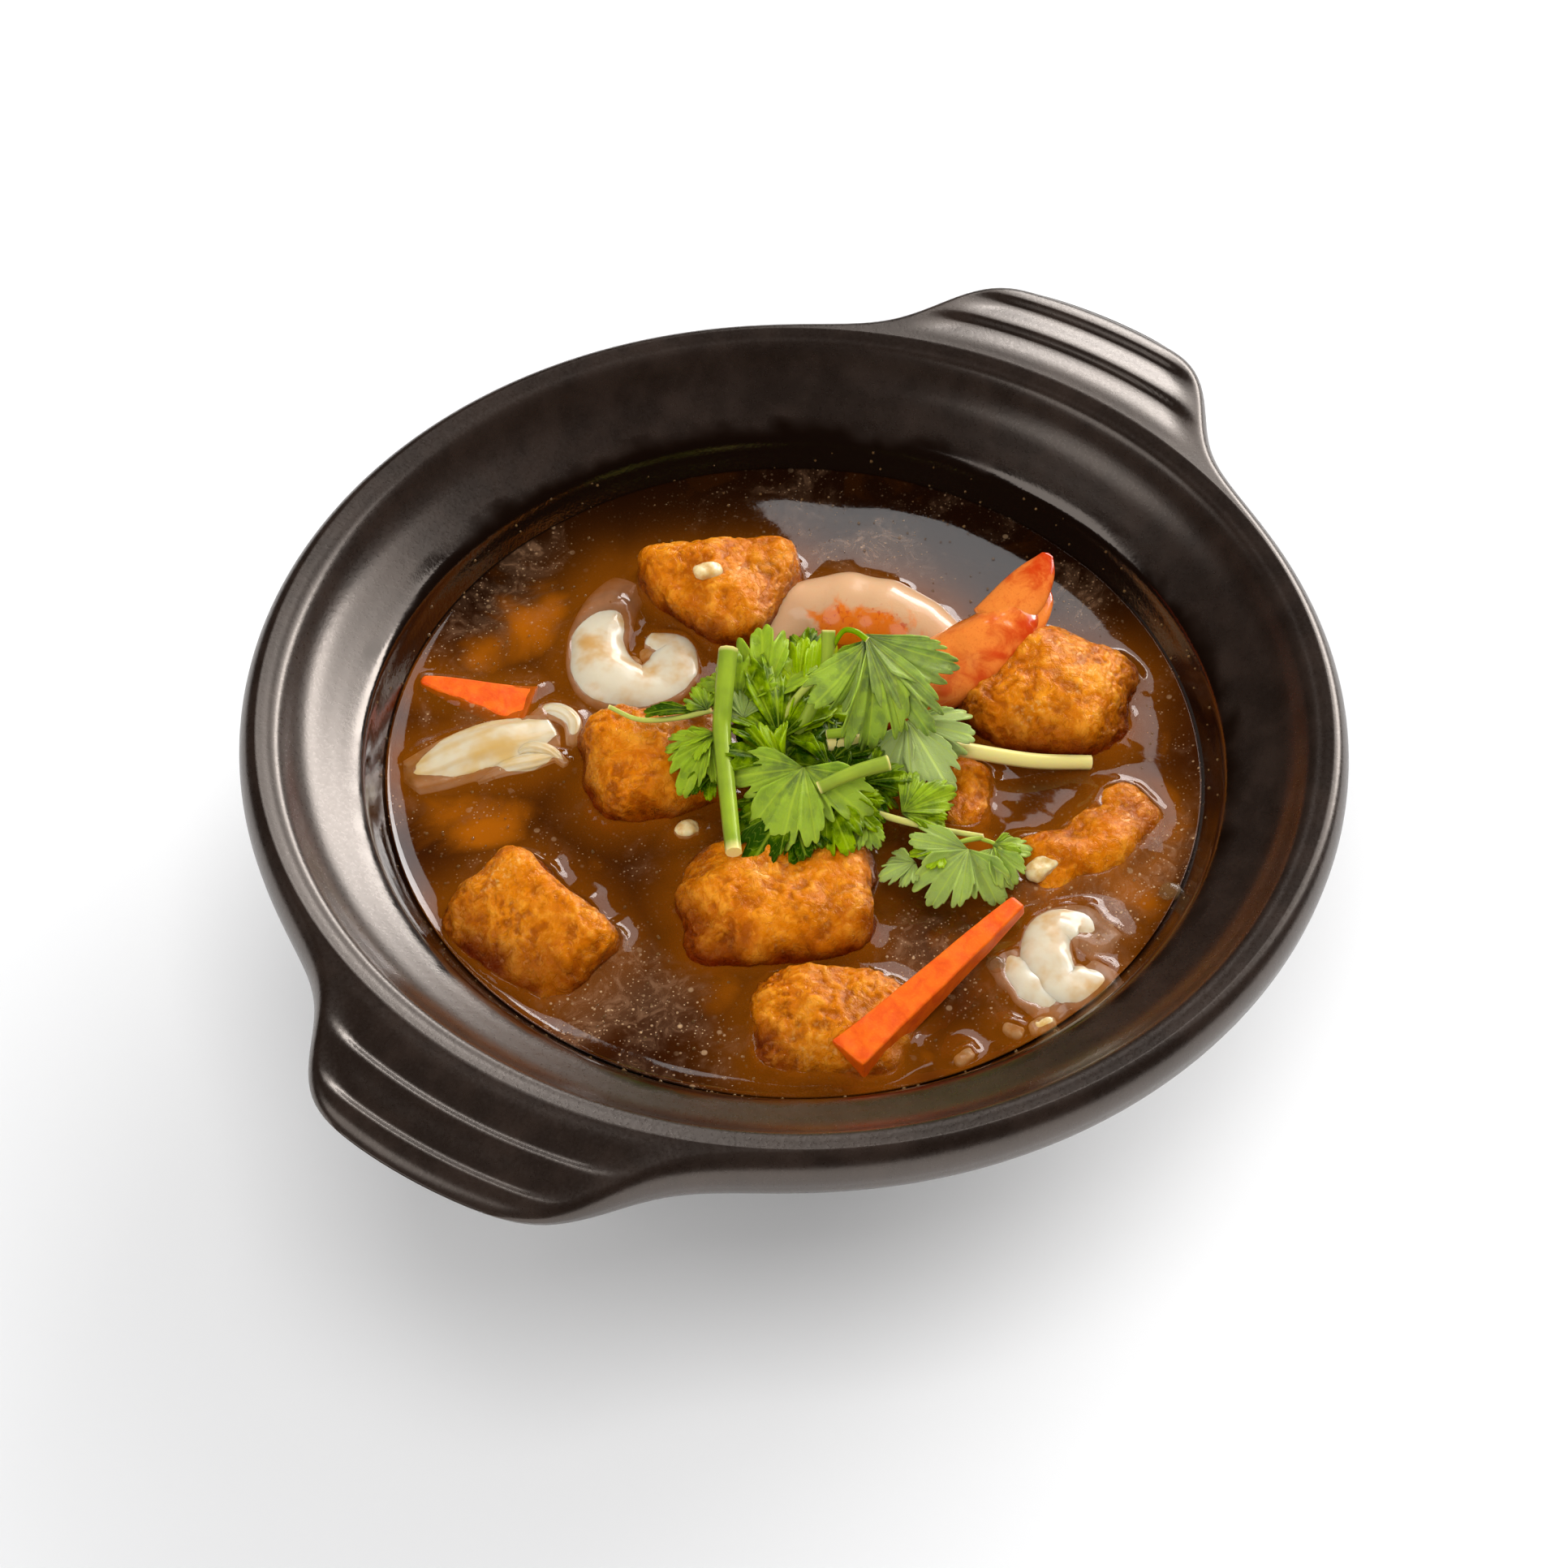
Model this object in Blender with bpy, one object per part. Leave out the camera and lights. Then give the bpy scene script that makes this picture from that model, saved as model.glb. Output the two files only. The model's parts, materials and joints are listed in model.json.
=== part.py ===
"""Claypot tofu, served in its two-eared stoneware pot.

The pot's own frame has its origin on the table under the centre and +X through the ears. Lengths below are in
millimetres and become metres as each mesh is made. The food is laid out as the diner sees it: x to the right,
y away and z above the broth's surface. The empty "Serving" turns that layout inside the pot.
"""

import math

import bmesh
import bpy
from mathutils import Euler, Matrix, Vector, noise

MM = 0.001
GAP = 0.35

# The pot's turned section.
RIM_RADIUS = 102.5
RIM_HEIGHT = 62.0
LIP_CREST_RADIUS = 99.2
LIP_CREST_HEIGHT = 67.5
BROTH_LEVEL = 48.0
BROTH_RADIUS = 76.2
FLOOR_THICKNESS = 8.0
FOOT_RADIUS = 45.0
FOOT_WIDTH = 5.0
FOOT_HEIGHT = 2.2

# The two ears: reach past the rim, half-width where that reach has halved, and the steps across the top.
EAR_REACH = 20.0
EAR_SAG = 0.5
EAR_HALF_ANGLE = 16.2
EAR_SHOULDER = 6
EAR_LIFT = 0.5
EAR_EDGE_HEIGHT = 66.3
EAR_EDGE_ROUND = 2.5
STEP_START = 101.3
STEP_PITCH = 8.2
STEP_DEPTH = 0.95
STEP_FALL = 0.79

# The pot is served with its ears turned this far from the diner's left-right line.
SERVING_TURN = math.radians(-59.6)

# Sides round the pot: close together along the ears, wider between them.
EAR_SPAN = 30
EAR_SIDES = 14
RIM_SIDES = 12


def clear_scene():
    for obj in list(bpy.data.objects):
        bpy.data.objects.remove(obj)


def principled(name, colour, roughness, subsurface=0.0):
    material = bpy.data.materials.new(name)
    material.use_nodes = True
    shader = material.node_tree.nodes["Principled BSDF"]
    shader.inputs["Base Color"].default_value = (*colour, 1)
    shader.inputs["Roughness"].default_value = roughness
    shader.inputs["Metallic"].default_value = 0.0
    shader.inputs["Subsurface Weight"].default_value = subsurface
    material.diffuse_color = (*colour, 1)
    return material


def object_from(name, shape, material, triangulate=True):
    """A smooth-shaded object from a bmesh in millimetres. The bmesh is used up."""
    if triangulate:
        bmesh.ops.triangulate(shape, faces=shape.faces)
    bmesh.ops.recalc_face_normals(shape, faces=shape.faces)
    if shape.calc_volume(signed=True) < 0:
        bmesh.ops.reverse_faces(shape, faces=shape.faces)
    bmesh.ops.scale(shape, vec=(MM, MM, MM), verts=shape.verts)
    mesh = bpy.data.meshes.new(name)
    shape.to_mesh(mesh)
    shape.free()
    mesh.materials.append(material)
    mesh.shade_smooth()
    obj = bpy.data.objects.new(name, mesh)
    bpy.context.scene.collection.objects.link(obj)
    return obj


def smoothstep(value):
    value = min(max(value, 0.0), 1.0)
    return value * value * (3 - 2 * value)


def curve_through(points, per_span):
    """A Catmull-Rom curve through the points, with per_span samples from each point to the next."""
    points = [Vector(point) for point in points]
    padded = [2 * points[0] - points[1], *points, 2 * points[-1] - points[-2]]
    samples = []
    for before, start, end, after in zip(padded, padded[1:], padded[2:], padded[3:]):
        for step in range(per_span):
            t = step / per_span
            bend = 2 * before - 5 * start + 4 * end - after
            cubic = 3 * start - before - 3 * end + after
            samples.append(start + 0.5 * t * ((end - before) + t * (bend + t * cubic)))
    return [*samples, points[-1]]


# ---------------------------------------------------------------- the pot


def ear_reach(angle):
    """How far the outline stands past the rim, at this many degrees round the pot."""
    from_ear = abs((angle + 90) % 180 - 90)
    sagged = EAR_REACH - EAR_SAG * (from_ear / 10) ** 2
    return max(sagged, 0.0) / (1 + (from_ear / EAR_HALF_ANGLE) ** EAR_SHOULDER)


def step_drop(radius, angle):
    """Depth of the ear's steps: a slow fall outward, then a quick rise to the next crest."""
    phase = ((radius - STEP_START) / STEP_PITCH) % 1
    if radius < STEP_START:
        return 0.0
    if phase < STEP_FALL:
        drop = 0.5 - 0.5 * math.cos(math.pi * phase / STEP_FALL)
    else:
        drop = 0.5 + 0.5 * math.cos(math.pi * (phase - STEP_FALL) / (1 - STEP_FALL))
    from_ear = abs((angle + 90) % 180 - 90)
    ends_at = 19.5 - 0.45 * (radius - RIM_RADIUS)
    return STEP_DEPTH * drop * smoothstep((ends_at - from_ear) / 5)


def lip_top(fraction, angle):
    """A point of the lip's top: fraction 0 is the crest and 1 the outermost edge."""
    reach = ear_reach(angle)
    share = reach / EAR_REACH
    outer = RIM_RADIUS + reach
    radius = LIP_CREST_RADIUS + (outer - LIP_CREST_RADIUS) * fraction
    edge_height = RIM_HEIGHT + share * (EAR_EDGE_HEIGHT - RIM_HEIGHT)
    rounding = (RIM_RADIUS - LIP_CREST_RADIUS) + share * (EAR_EDGE_ROUND - RIM_RADIUS + LIP_CREST_RADIUS)
    into_round = max(0.0, 1 - (outer - radius) / rounding)
    top = LIP_CREST_HEIGHT + EAR_LIFT * smoothstep((radius - LIP_CREST_RADIUS) / STEP_PITCH) * share
    fall = (top - edge_height) * (1 - math.sqrt(max(0.0, 1 - into_round**2)))
    return radius, top - fall - step_drop(radius, angle)


def lip_underside(angle):
    """From the outermost edge back to the neck. Each point gives its share of the ear's reach and lift."""
    reach = ear_reach(angle)
    share = reach / EAR_REACH
    under = [
        (102.1, 59.3, 0.97, 5.2),
        (100.9, 57.2, 0.90, 5.9),
        (98.6, 56.0, 0.45, 4.0),
    ]
    return [(radius + reach * out, height + share * lift) for radius, height, out, lift in under]


INSIDE = [
    (0.0, FLOOR_THICKNESS),
    (36.0, 9.6),
    (52.0, 18.5),
    (63.0, 30.0),
    (70.0, 40.0),
    (BROTH_RADIUS, BROTH_LEVEL),
]
LEDGE = [
    (BROTH_RADIUS, BROTH_LEVEL),
    (79.2, 52.4),
    (81.2, 55.2),
    (89.8, 60.0),
    (92.4, 62.4),
    (95.0, 66.0),
    (97.2, 66.9),
    (LIP_CREST_RADIUS, LIP_CREST_HEIGHT),
]
OUTSIDE = [
    (94.0, 54.0),
    (85.0, 46.4),
    (76.0, 35.8),
    (64.5, 21.4),
    (53.0, 8.5),
    (47.5, 3.0),
    (FOOT_RADIUS, 0.0),
    (FOOT_RADIUS - FOOT_WIDTH, 0.0),
    (FOOT_RADIUS - FOOT_WIDTH - 1.5, FOOT_HEIGHT),
    (0.0, FOOT_HEIGHT),
]
LIP_FRACTIONS = [0.14, 0.27, 0.37, 0.46, 0.61, 0.73, 0.80, 0.89, 0.96, 1.0]


def pot_angles():
    angles = []
    plain_span = 180 - 2 * EAR_SPAN
    for middle in (0, 180):
        angles += [middle - EAR_SPAN + 2 * EAR_SPAN * side / EAR_SIDES for side in range(EAR_SIDES)]
        angles += [middle + EAR_SPAN + plain_span * side / RIM_SIDES for side in range(RIM_SIDES)]
    return angles


def make_pot(material):
    """One closed skin: a turned section whose lip runs out into the ears."""
    shape = bmesh.new()
    floor_centre = shape.verts.new((0, 0, INSIDE[0][1]))
    foot_centre = shape.verts.new((0, 0, OUTSIDE[-1][1]))
    rings = []
    for angle in pot_angles():
        section = INSIDE[1:] + LEDGE[1:]
        section += [lip_top(fraction, angle) for fraction in LIP_FRACTIONS]
        section += lip_underside(angle) + OUTSIDE[:-1]
        turn = math.radians(angle)
        across, along = math.cos(turn), math.sin(turn)
        rings.append([shape.verts.new((r * across, r * along, z)) for r, z in section])
    for here, there in zip(rings, rings[1:] + rings[:1]):
        shape.faces.new((floor_centre, here[0], there[0]))
        shape.faces.new((foot_centre, there[-1], here[-1]))
        for low in range(len(here) - 1):
            shape.faces.new((here[low], here[low + 1], there[low + 1], there[low]))
    return object_from("pot", shape, material)


# ---------------------------------------------------------------- shapes for the food


def rounded_block(size, squareness, cuts, taper=0.0, skew=0.0):
    """A block with soft edges. taper narrows its near end, and skew slides that end to the right."""
    shape = bmesh.new()
    bmesh.ops.create_cube(shape, size=2)
    bmesh.ops.subdivide_edges(shape, edges=shape.edges, cuts=cuts, use_grid_fill=True)
    for vert in shape.verts:
        x, y, z = vert.co
        spread = (abs(x) ** squareness + abs(y) ** squareness + abs(z) ** squareness) ** (1 / squareness)
        x, y, z = x / spread, y / spread, z / spread
        near = ((1 - y) / 2) ** 1.6
        vert.co = Vector(
            (
                x * (1 - taper * near) * size[0] / 2 + skew * near,
                y * size[1] / 2,
                z * size[2] / 2,
            )
        )
    return shape


def roughen(shape, bumps, seed):
    """Pushes each point out or in along its normal. bumps holds (height, width) of each size of bump."""
    shape.normal_update()
    shifts = []
    for vert in shape.verts:
        push = 0.0
        for height, width in bumps:
            push += height * noise.noise(vert.co / width + Vector((seed * 7.3, seed * 3.1, seed)))
        shifts.append(vert.normal * push)
    for vert, shift in zip(shape.verts, shifts):
        vert.co += shift


def place(shape, centre, turns):
    """Turns the shape about its own axes, in degrees, and moves it to centre."""
    turn = Euler([math.radians(angle) for angle in turns], "XYZ").to_matrix().to_4x4()
    shape.transform(Matrix.Translation(centre) @ turn)


def sweep(spine, sides, per_span, flat=1.0):
    """A closed tube along a smooth curve. Each spine point is (x, y, z, half width), and flat scales its height."""
    shape = bmesh.new()
    path = curve_through(spine, per_span)
    rings = []
    for index, point in enumerate(path):
        before = path[max(index - 1, 0)]
        after = path[min(index + 1, len(path) - 1)]
        forward = (after.xyz - before.xyz).normalized()
        sideways = forward.cross(Vector((0, 0, 1))).normalized()
        upward = sideways.cross(forward)
        ring = []
        for side in range(sides):
            turn = 2 * math.pi * side / sides
            offset = sideways * math.cos(turn) + upward * math.sin(turn) * flat
            ring.append(shape.verts.new(point.xyz + offset * point.w))
        rings.append(ring)
    for here, there in zip(rings, rings[1:]):
        for side in range(sides):
            turned = (side + 1) % sides
            shape.faces.new((here[side], here[turned], there[turned], there[side]))
    for ring, point, inward in ((rings[0], path[0], -1), (rings[-1], path[-1], 1)):
        neighbour = path[1] if inward < 0 else path[-2]
        tip = shape.verts.new(point.xyz + (point.xyz - neighbour.xyz).normalized() * point.w * 0.4)
        for side in range(sides):
            shape.faces.new((tip, ring[side], ring[(side + 1) % sides]))
    return shape


def wedge(near, far, near_size, far_size, bevel):
    """A cut stick from near to far, with a (width, height) at each end and narrow bevelled edges."""
    shape = bmesh.new()
    bmesh.ops.create_cube(shape, size=1)
    near, far = Vector(near), Vector(far)
    forward = (far - near).normalized()
    sideways = forward.cross(Vector((0, 0, 1))).normalized()
    upward = sideways.cross(forward)
    for vert in shape.verts:
        at_far = vert.co.y > 0
        width, height = far_size if at_far else near_size
        end = far if at_far else near
        vert.co = end + sideways * vert.co.x * width + upward * vert.co.z * height
    shape.normal_update()
    bmesh.ops.bevel(shape, geom=shape.edges, offset=bevel, segments=1, affect="EDGES")
    return shape


def leaf(base, tip, roll, per_lobe, thickness=0.7):
    """A coriander leaf from the end of its stalk to its tip: a fan of three lobes, each folded along its rib.

    roll turns the blade about its length, in degrees.
    """
    base, tip = Vector(base), Vector(tip)
    length = (tip - base).length
    forward = (tip - base) / length
    sideways = Vector((0, 0, 1)).cross(forward).normalized()
    frame = Matrix((forward, sideways, forward.cross(sideways))).transposed().to_4x4()
    lobe_spacing = math.radians(66)
    sinus_depth = 0.5
    samples = 3 * per_lobe + 1
    shape = bmesh.new()

    def blade(offset):
        outline = [shape.verts.new((0, 0, offset))]
        for index in range(samples):
            lobe = index / per_lobe - 1.5
            from_rib = abs((lobe + 0.5) % 1 - 0.5) * 2
            reach = length * (1 - 0.16 * abs(lobe)) * (1 - sinus_depth * from_rib**2.2)
            fold = 0.14 * length * (from_rib - 0.5)
            wave = 0.05 * length * math.sin(2.7 * lobe + length)
            droop = 0.13 * length * abs(lobe)
            angle = lobe * lobe_spacing
            height = fold + wave - droop + offset
            outline.append(shape.verts.new((reach * math.cos(angle), reach * math.sin(angle), height)))
        return outline

    over, under = blade(thickness / 2), blade(-thickness / 2)
    for skin in (over, under):
        for here, there in zip(skin[1:], skin[2:]):
            shape.faces.new((skin[0], here, there))
    for index in range(len(over)):
        after = (index + 1) % len(over)
        shape.faces.new((over[index], over[after], under[after]))
        shape.faces.new((over[index], under[after], under[index]))
    shape.transform(Matrix.Translation(base) @ frame @ Matrix.Rotation(math.radians(roll), 4, "X"))
    return shape


# ---------------------------------------------------------------- Booleans


def drop_scraps(obj):
    """Keeps the largest connected body of the object's mesh."""
    shape = bmesh.new()
    shape.from_mesh(obj.data)
    unseen = set(shape.faces)
    bodies = []
    while unseen:
        body = {unseen.pop()}
        edge_of_body = list(body)
        while edge_of_body:
            face = edge_of_body.pop()
            for edge in face.edges:
                for other in edge.link_faces:
                    if other in unseen:
                        unseen.remove(other)
                        body.add(other)
                        edge_of_body.append(other)
        bodies.append(body)
    bodies.sort(key=lambda body: sum(face.calc_area() for face in body))
    scraps = [face for body in bodies[:-1] for face in body]
    bmesh.ops.delete(shape, geom=scraps, context="FACES")
    shape.to_mesh(obj.data)
    shape.free()


def fuse(body, pieces, solver="EXACT"):
    """Joins the pieces to the body by one Boolean union, applies it and removes the pieces."""
    group = bpy.data.collections.new(body.name + "_pieces")
    for piece in pieces:
        group.objects.link(piece)
    union = body.modifiers.new("Union", "BOOLEAN")
    union.operation = "UNION"
    union.operand_type = "COLLECTION"
    union.collection = group
    union.solver = solver
    apply_modifiers(body)
    for piece in pieces:
        bpy.data.objects.remove(piece)
    bpy.data.collections.remove(group)
    drop_scraps(body)


def apply_modifiers(obj):
    graph = bpy.context.evaluated_depsgraph_get()
    mesh = bpy.data.meshes.new_from_object(obj.evaluated_get(graph))
    obj.modifiers.clear()
    old = obj.data
    obj.data = mesh
    bpy.data.meshes.remove(old)
    mesh.name = obj.name


def swollen_copy(obj, grow):
    """A copy of the object pushed out along its normals, to cut its bed with."""
    copy = obj.copy()
    copy.data = obj.data.copy()
    copy.name = obj.name + "_bed"
    bpy.context.scene.collection.objects.link(copy)
    normals = [vertex.normal.copy() for vertex in copy.data.vertices]
    for vertex, normal in zip(copy.data.vertices, normals):
        vertex.co += normal * grow * MM
    return copy


def bed_in(body, pieces, solver="EXACT"):
    """Cuts a bed for each piece out of the body, a gap wider than the piece."""
    beds = [swollen_copy(piece, GAP) for piece in pieces]
    for bed in beds:
        cut = body.modifiers.new("Bed", "BOOLEAN")
        cut.operation = "DIFFERENCE"
        cut.object = bed
        cut.solver = solver
    apply_modifiers(body)
    for bed in beds:
        bpy.data.objects.remove(bed)
    drop_scraps(body)


# ---------------------------------------------------------------- the food

# Each fried tofu block: centre, size, squareness, turns in degrees, taper and skew of the near end, bump height.
TOFU = {
    "tofu_back": ((-15.8, 40.8, -3.0), (35, 24, 24), 5, (6, 0, 3), 0.74, 3.5, 1.6),
    "tofu_right": ((48.3, 17.5, -2.5), (34, 30, 24), 3, (0, 0, -10), 0.0, 0.0, 2.2),
    "tofu_left": ((-26.0, -2.5, -3.0), (27, 24, 23), 5, (4, 0, 14), 0.0, 0.0, 1.6),
    "tofu_front": ((-2.5, -34.0, -4.0), (38, 27, 26), 3.5, (6, 0, 4), 0.0, 0.0, 2.6),
    "tofu_corner": ((-46.5, -40.0, -4.8), (30, 23, 23), 6, (24, 8, -41), 0.0, 0.0, 1.4),
    "tofu_near": ((7.0, -60.0, -5.2), (29, 25, 22), 3.5, (16, 0, -6), 0.0, 0.0, 1.8),
    "tofu_sunk": ((53.0, -19.5, -4.6), (35, 17, 15), 3, (0, 0, 41), 0.0, 0.0, 2.6),
    "tofu_small": ((31.0, -7.0, -5.0), (14, 17, 16), 3, (0, 0, 0), 0.0, 0.0, 1.2),
    "tofu_middle": ((8.0, -4.0, -5.0), (24, 19, 17), 4, (0, 0, 8), 0.0, 0.0, 1.0),
}
TOFU_CUTS = 3
SMALL_TOFU = 25.0
TOFU_BUMP_WIDTH = 9.0

# Garlic bits on the tofu: centre, size, turn.
GARLIC = {
    "tofu_back": ((-17.5, 40.5, 9.3), (5.5, 3.2, 2.4), 15),
    "tofu_sunk": ((46.0, -25.5, 2.2), (7.5, 4.0, 3.0), 38),
}

SHRIMP_BODY = [
    (-4, 30, -1.5, 4.0),
    (2, 34.5, -1, 8.0),
    (11, 35.5, -0.5, 9.6),
    (20, 31.5, 0.5, 9.0),
    (26, 23.5, 2, 7.4),
    (31.5, 17.5, 4.5, 6.4),
    (38, 19.5, 7, 6.0),
    (43.5, 27, 9, 5.0),
    (47, 34, 10.5, 3.2),
]
SHRIMP_BLADES = [
    [(44, 28, 9, 3.6), (47.5, 34.5, 11, 3.2), (49.5, 40.5, 13.0, 1.6)],
    [(45, 27, 8.0, 3.2), (48.5, 31, 8.6, 2.6), (50, 35.0, 9.0, 1.0)],
]

SQUID_LEFT = [
    (-38, 37, -2.6, 3.4),
    (-38.4, 32, -1.6, 4.2),
    (-37.2, 25.5, -1.2, 4.3),
    (-33, 20.3, -1.0, 4.3),
    (-27, 20.2, -0.8, 4.2),
    (-23.4, 24.8, -0.5, 3.9),
    (-24.8, 29.5, -0.2, 3.2),
    (-28.5, 29.8, 0, 2.0),
]
SQUID_RIGHT = [
    (56, -39.5, -1.2, 3.0),
    (51.5, -36.5, -0.8, 4.0),
    (48, -39.5, -0.5, 4.4),
    (47.6, -45.5, -0.5, 4.4),
    (49.6, -50.0, -0.5, 3.8),
    (48.8, -53.4, -0.4, 2.4),
]
SQUID_FIN = [(40.0, -45.5, -0.6, 2.2), (42.0, -49.0, 0, 3.0), (47.0, -50.5, -1.0, 2.6)]

CABBAGE_STEM = [(-70, -3.5, -1.5, 3.6), (-62, 0.8, -1.4, 4.6), (-53.5, 5.2, -1.4, 4.8), (-47.5, 8.5, -1.8, 3.4)]
CABBAGE_SLICE = [(-60, -5.5, -1.5, 1.2), (-55.5, -3.8, -1.0, 2.0), (-50.5, -1.0, -0.8, 2.0), (-46.0, 2.0, -1.2, 1.4)]

# The coriander: a bundle in the middle, its stalks as (x, y, z, half width), and its leaves as (base, tip, roll).
CORIANDER_BUNDLE = ((2, -6.5, 9.4), (26, 25, 8.4), 3)
CORIANDER_STALKS = {
    "standing": [(-12.6, 10.7, 20, 1.7), (-13.3, 0, 16.2, 1.7), (-13.2, -7, 14.1, 1.7), (-10.5, -31.8, 12.8, 1.6)],
    "back": [(6.0, 12.4, 24, 1.3), (5.9, 8.1, 20, 1.25), (4.9, 5.6, 17, 1.2), (-1.6, -4.0, 9, 1.1)],
    "curved": [(5.8, 9.4, 20.6, 0.5), (8.5, 11.0, 24.4, 0.55), (11.6, 10.0, 25.5, 0.6), (15, 6.8, 24, 0.6)],
    "left": [(-34.8, 2.7, 12.2, 0.7), (-26, -0.2, 11.4, 0.75), (-17, -0.6, 12.4, 0.8), (-6, -4, 11, 1.0)],
    "cross": [(17.3, -9.4, 14.2, 1.5), (11, -11.6, 13.6, 1.3), (4.8, -13.4, 11, 1.2)],
    "right": [(6, -4.0, 10, 1.2), (18, -0.6, 8.6, 1.3), (31, -0.9, 6.2, 1.3), (44.5, -1.2, 3.6, 1.3), (56, 0.3, 2.4, 1.3)],
    "front": [(6, -13, 9, 0.9), (15.5, -18.6, 7.4, 0.8), (26, -20.4, 6.0, 0.8), (35, -21.4, 5.0, 0.7)],
}
CORIANDER_LEAVES = [
    ((-6, 1.0, 11.5), (-10.5, 14.0, 17.5), -20),
    ((-2.5, 0.5, 11.5), (-2.5, 16.5, 16.5), 10),
    ((3.5, 1.5, 11.5), (9.5, 14.5, 15.5), 25),
    ((13.5, 8.0, 25), (27.1, -1.8, 16), 20),
    ((12.5, 8.4, 23.5), (11.4, -9.0, 15), -5),
    ((20.5, 0.8, 9.8), (28.5, -10.6, 8), 10),
    ((2.5, -13.0, 13), (-4.8, -29.0, 12.6), 10),
    ((-1.5, -9.0, 12), (-10.5, -1.0, 14.5), -30),
    ((-13.0, -6.0, 13.5), (-20.8, -15.0, 11.0), 0),
    ((-18.5, -0.6, 12.2), (-27.0, 1.6, 12.8), 0),
    ((0.5, -17.0, 10), (-6.0, -30.5, 11.6), 0),
    ((4.5, -16.5, 10), (10.9, -28.0, 11.0), 0),
    ((16.5, -18.2, 7.2), (29.5, -12.0, 6.6), 0),
    ((10.5, -11.0, 12), (21.8, -13.5, 8.6), 0),
    ((26.2, -20.4, 6.0), (22.2, -30.2, 5.2), 0),
    ((33.5, -21.3, 5.4), (26.4, -35.0, 5.2), 4),
    ((34.8, -21.4, 5.0), (40.8, -30.6, 4.8), -4),
]


def make_tofu(golden):
    blocks = {}
    for seed, (name, (centre, size, squareness, turns, taper, skew, bump)) in enumerate(TOFU.items()):
        cuts = TOFU_CUTS if max(size) > SMALL_TOFU else TOFU_CUTS - 1
        shape = rounded_block(size, squareness, cuts, taper, skew)
        roughen(shape, [(bump, TOFU_BUMP_WIDTH)], seed + 1)
        place(shape, centre, turns)
        blocks[name] = object_from(name, shape, golden)
    for name, (centre, size, turn) in GARLIC.items():
        shape = rounded_block(size, 3, 1)
        place(shape, centre, (0, 0, turn))
        fuse(blocks[name], [object_from("garlic", shape, golden)])
    return blocks


def make_shrimp(material):
    body = object_from("shrimp", sweep(SHRIMP_BODY, 8, 2, 0.8), material)
    blades = [object_from("blade", sweep(blade, 6, 2, 0.4), material) for blade in SHRIMP_BLADES]
    fuse(body, blades, "MANIFOLD")
    return body


def make_squid(material):
    left = object_from("squid_left", sweep(SQUID_LEFT, 8, 1, 0.9), material)
    right = object_from("squid_right", sweep(SQUID_RIGHT, 8, 1, 0.9), material)
    fuse(right, [object_from("fin", sweep(SQUID_FIN, 6, 1, 0.9), material)])
    return [left, right]


def make_cabbage(material):
    stem = object_from("cabbage_stem", sweep(CABBAGE_STEM, 8, 2, 0.6), material)
    piece = object_from("cabbage_slice", sweep(CABBAGE_SLICE, 6, 2, 0.9), material)
    return [stem, piece]


def make_carrots(material):
    stick = wedge((10.6, -69.6, 2.0), (41, -38, 7.2), (7.6, 7.6), (3.0, 2.8), 0.5)
    chip = wedge((-71, 17.0, 0.6), (-51, 13.0, -1.8), (3.5, 2.6), (9.5, 5.0), 0.5)
    return [object_from("carrot_stick", stick, material), object_from("carrot_slice", chip, material)]


def make_coriander(material):
    centre, size, squareness = CORIANDER_BUNDLE
    shape = rounded_block(size, squareness, 2)
    place(shape, centre, (0, 0, 0))
    bundle = object_from("coriander", shape, material)
    pieces = []
    for spine in CORIANDER_STALKS.values():
        pieces.append(object_from("stalk", sweep(spine, 6, 2), material))
    for base, tip, roll in CORIANDER_LEAVES:
        pieces.append(object_from("leaf", leaf(base, tip, roll, 4), material))
    fuse(bundle, pieces)
    return bundle


def make_broth(material, pieces):
    """The broth fills the pot up to its level and is cut round every piece that sits in it."""
    shape = bmesh.new()
    bottom = shape.verts.new((0, 0, FLOOR_THICKNESS + GAP))
    section = [(radius - GAP, min(height + GAP, BROTH_LEVEL)) for radius, height in INSIDE[1:]]
    rings = []
    for angle in pot_angles():
        across, along = math.cos(math.radians(angle)), math.sin(math.radians(angle))
        rings.append([shape.verts.new((r * across, r * along, z)) for r, z in section])
    for here, there in zip(rings, rings[1:] + rings[:1]):
        shape.faces.new((bottom, there[0], here[0]))
        for low in range(len(here) - 1):
            shape.faces.new((here[low], there[low], there[low + 1], here[low + 1]))
    shape.faces.new([ring[-1] for ring in rings])
    broth = object_from("broth", shape, material, triangulate=False)
    bed_in(broth, pieces, "MANIFOLD")
    return broth


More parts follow.
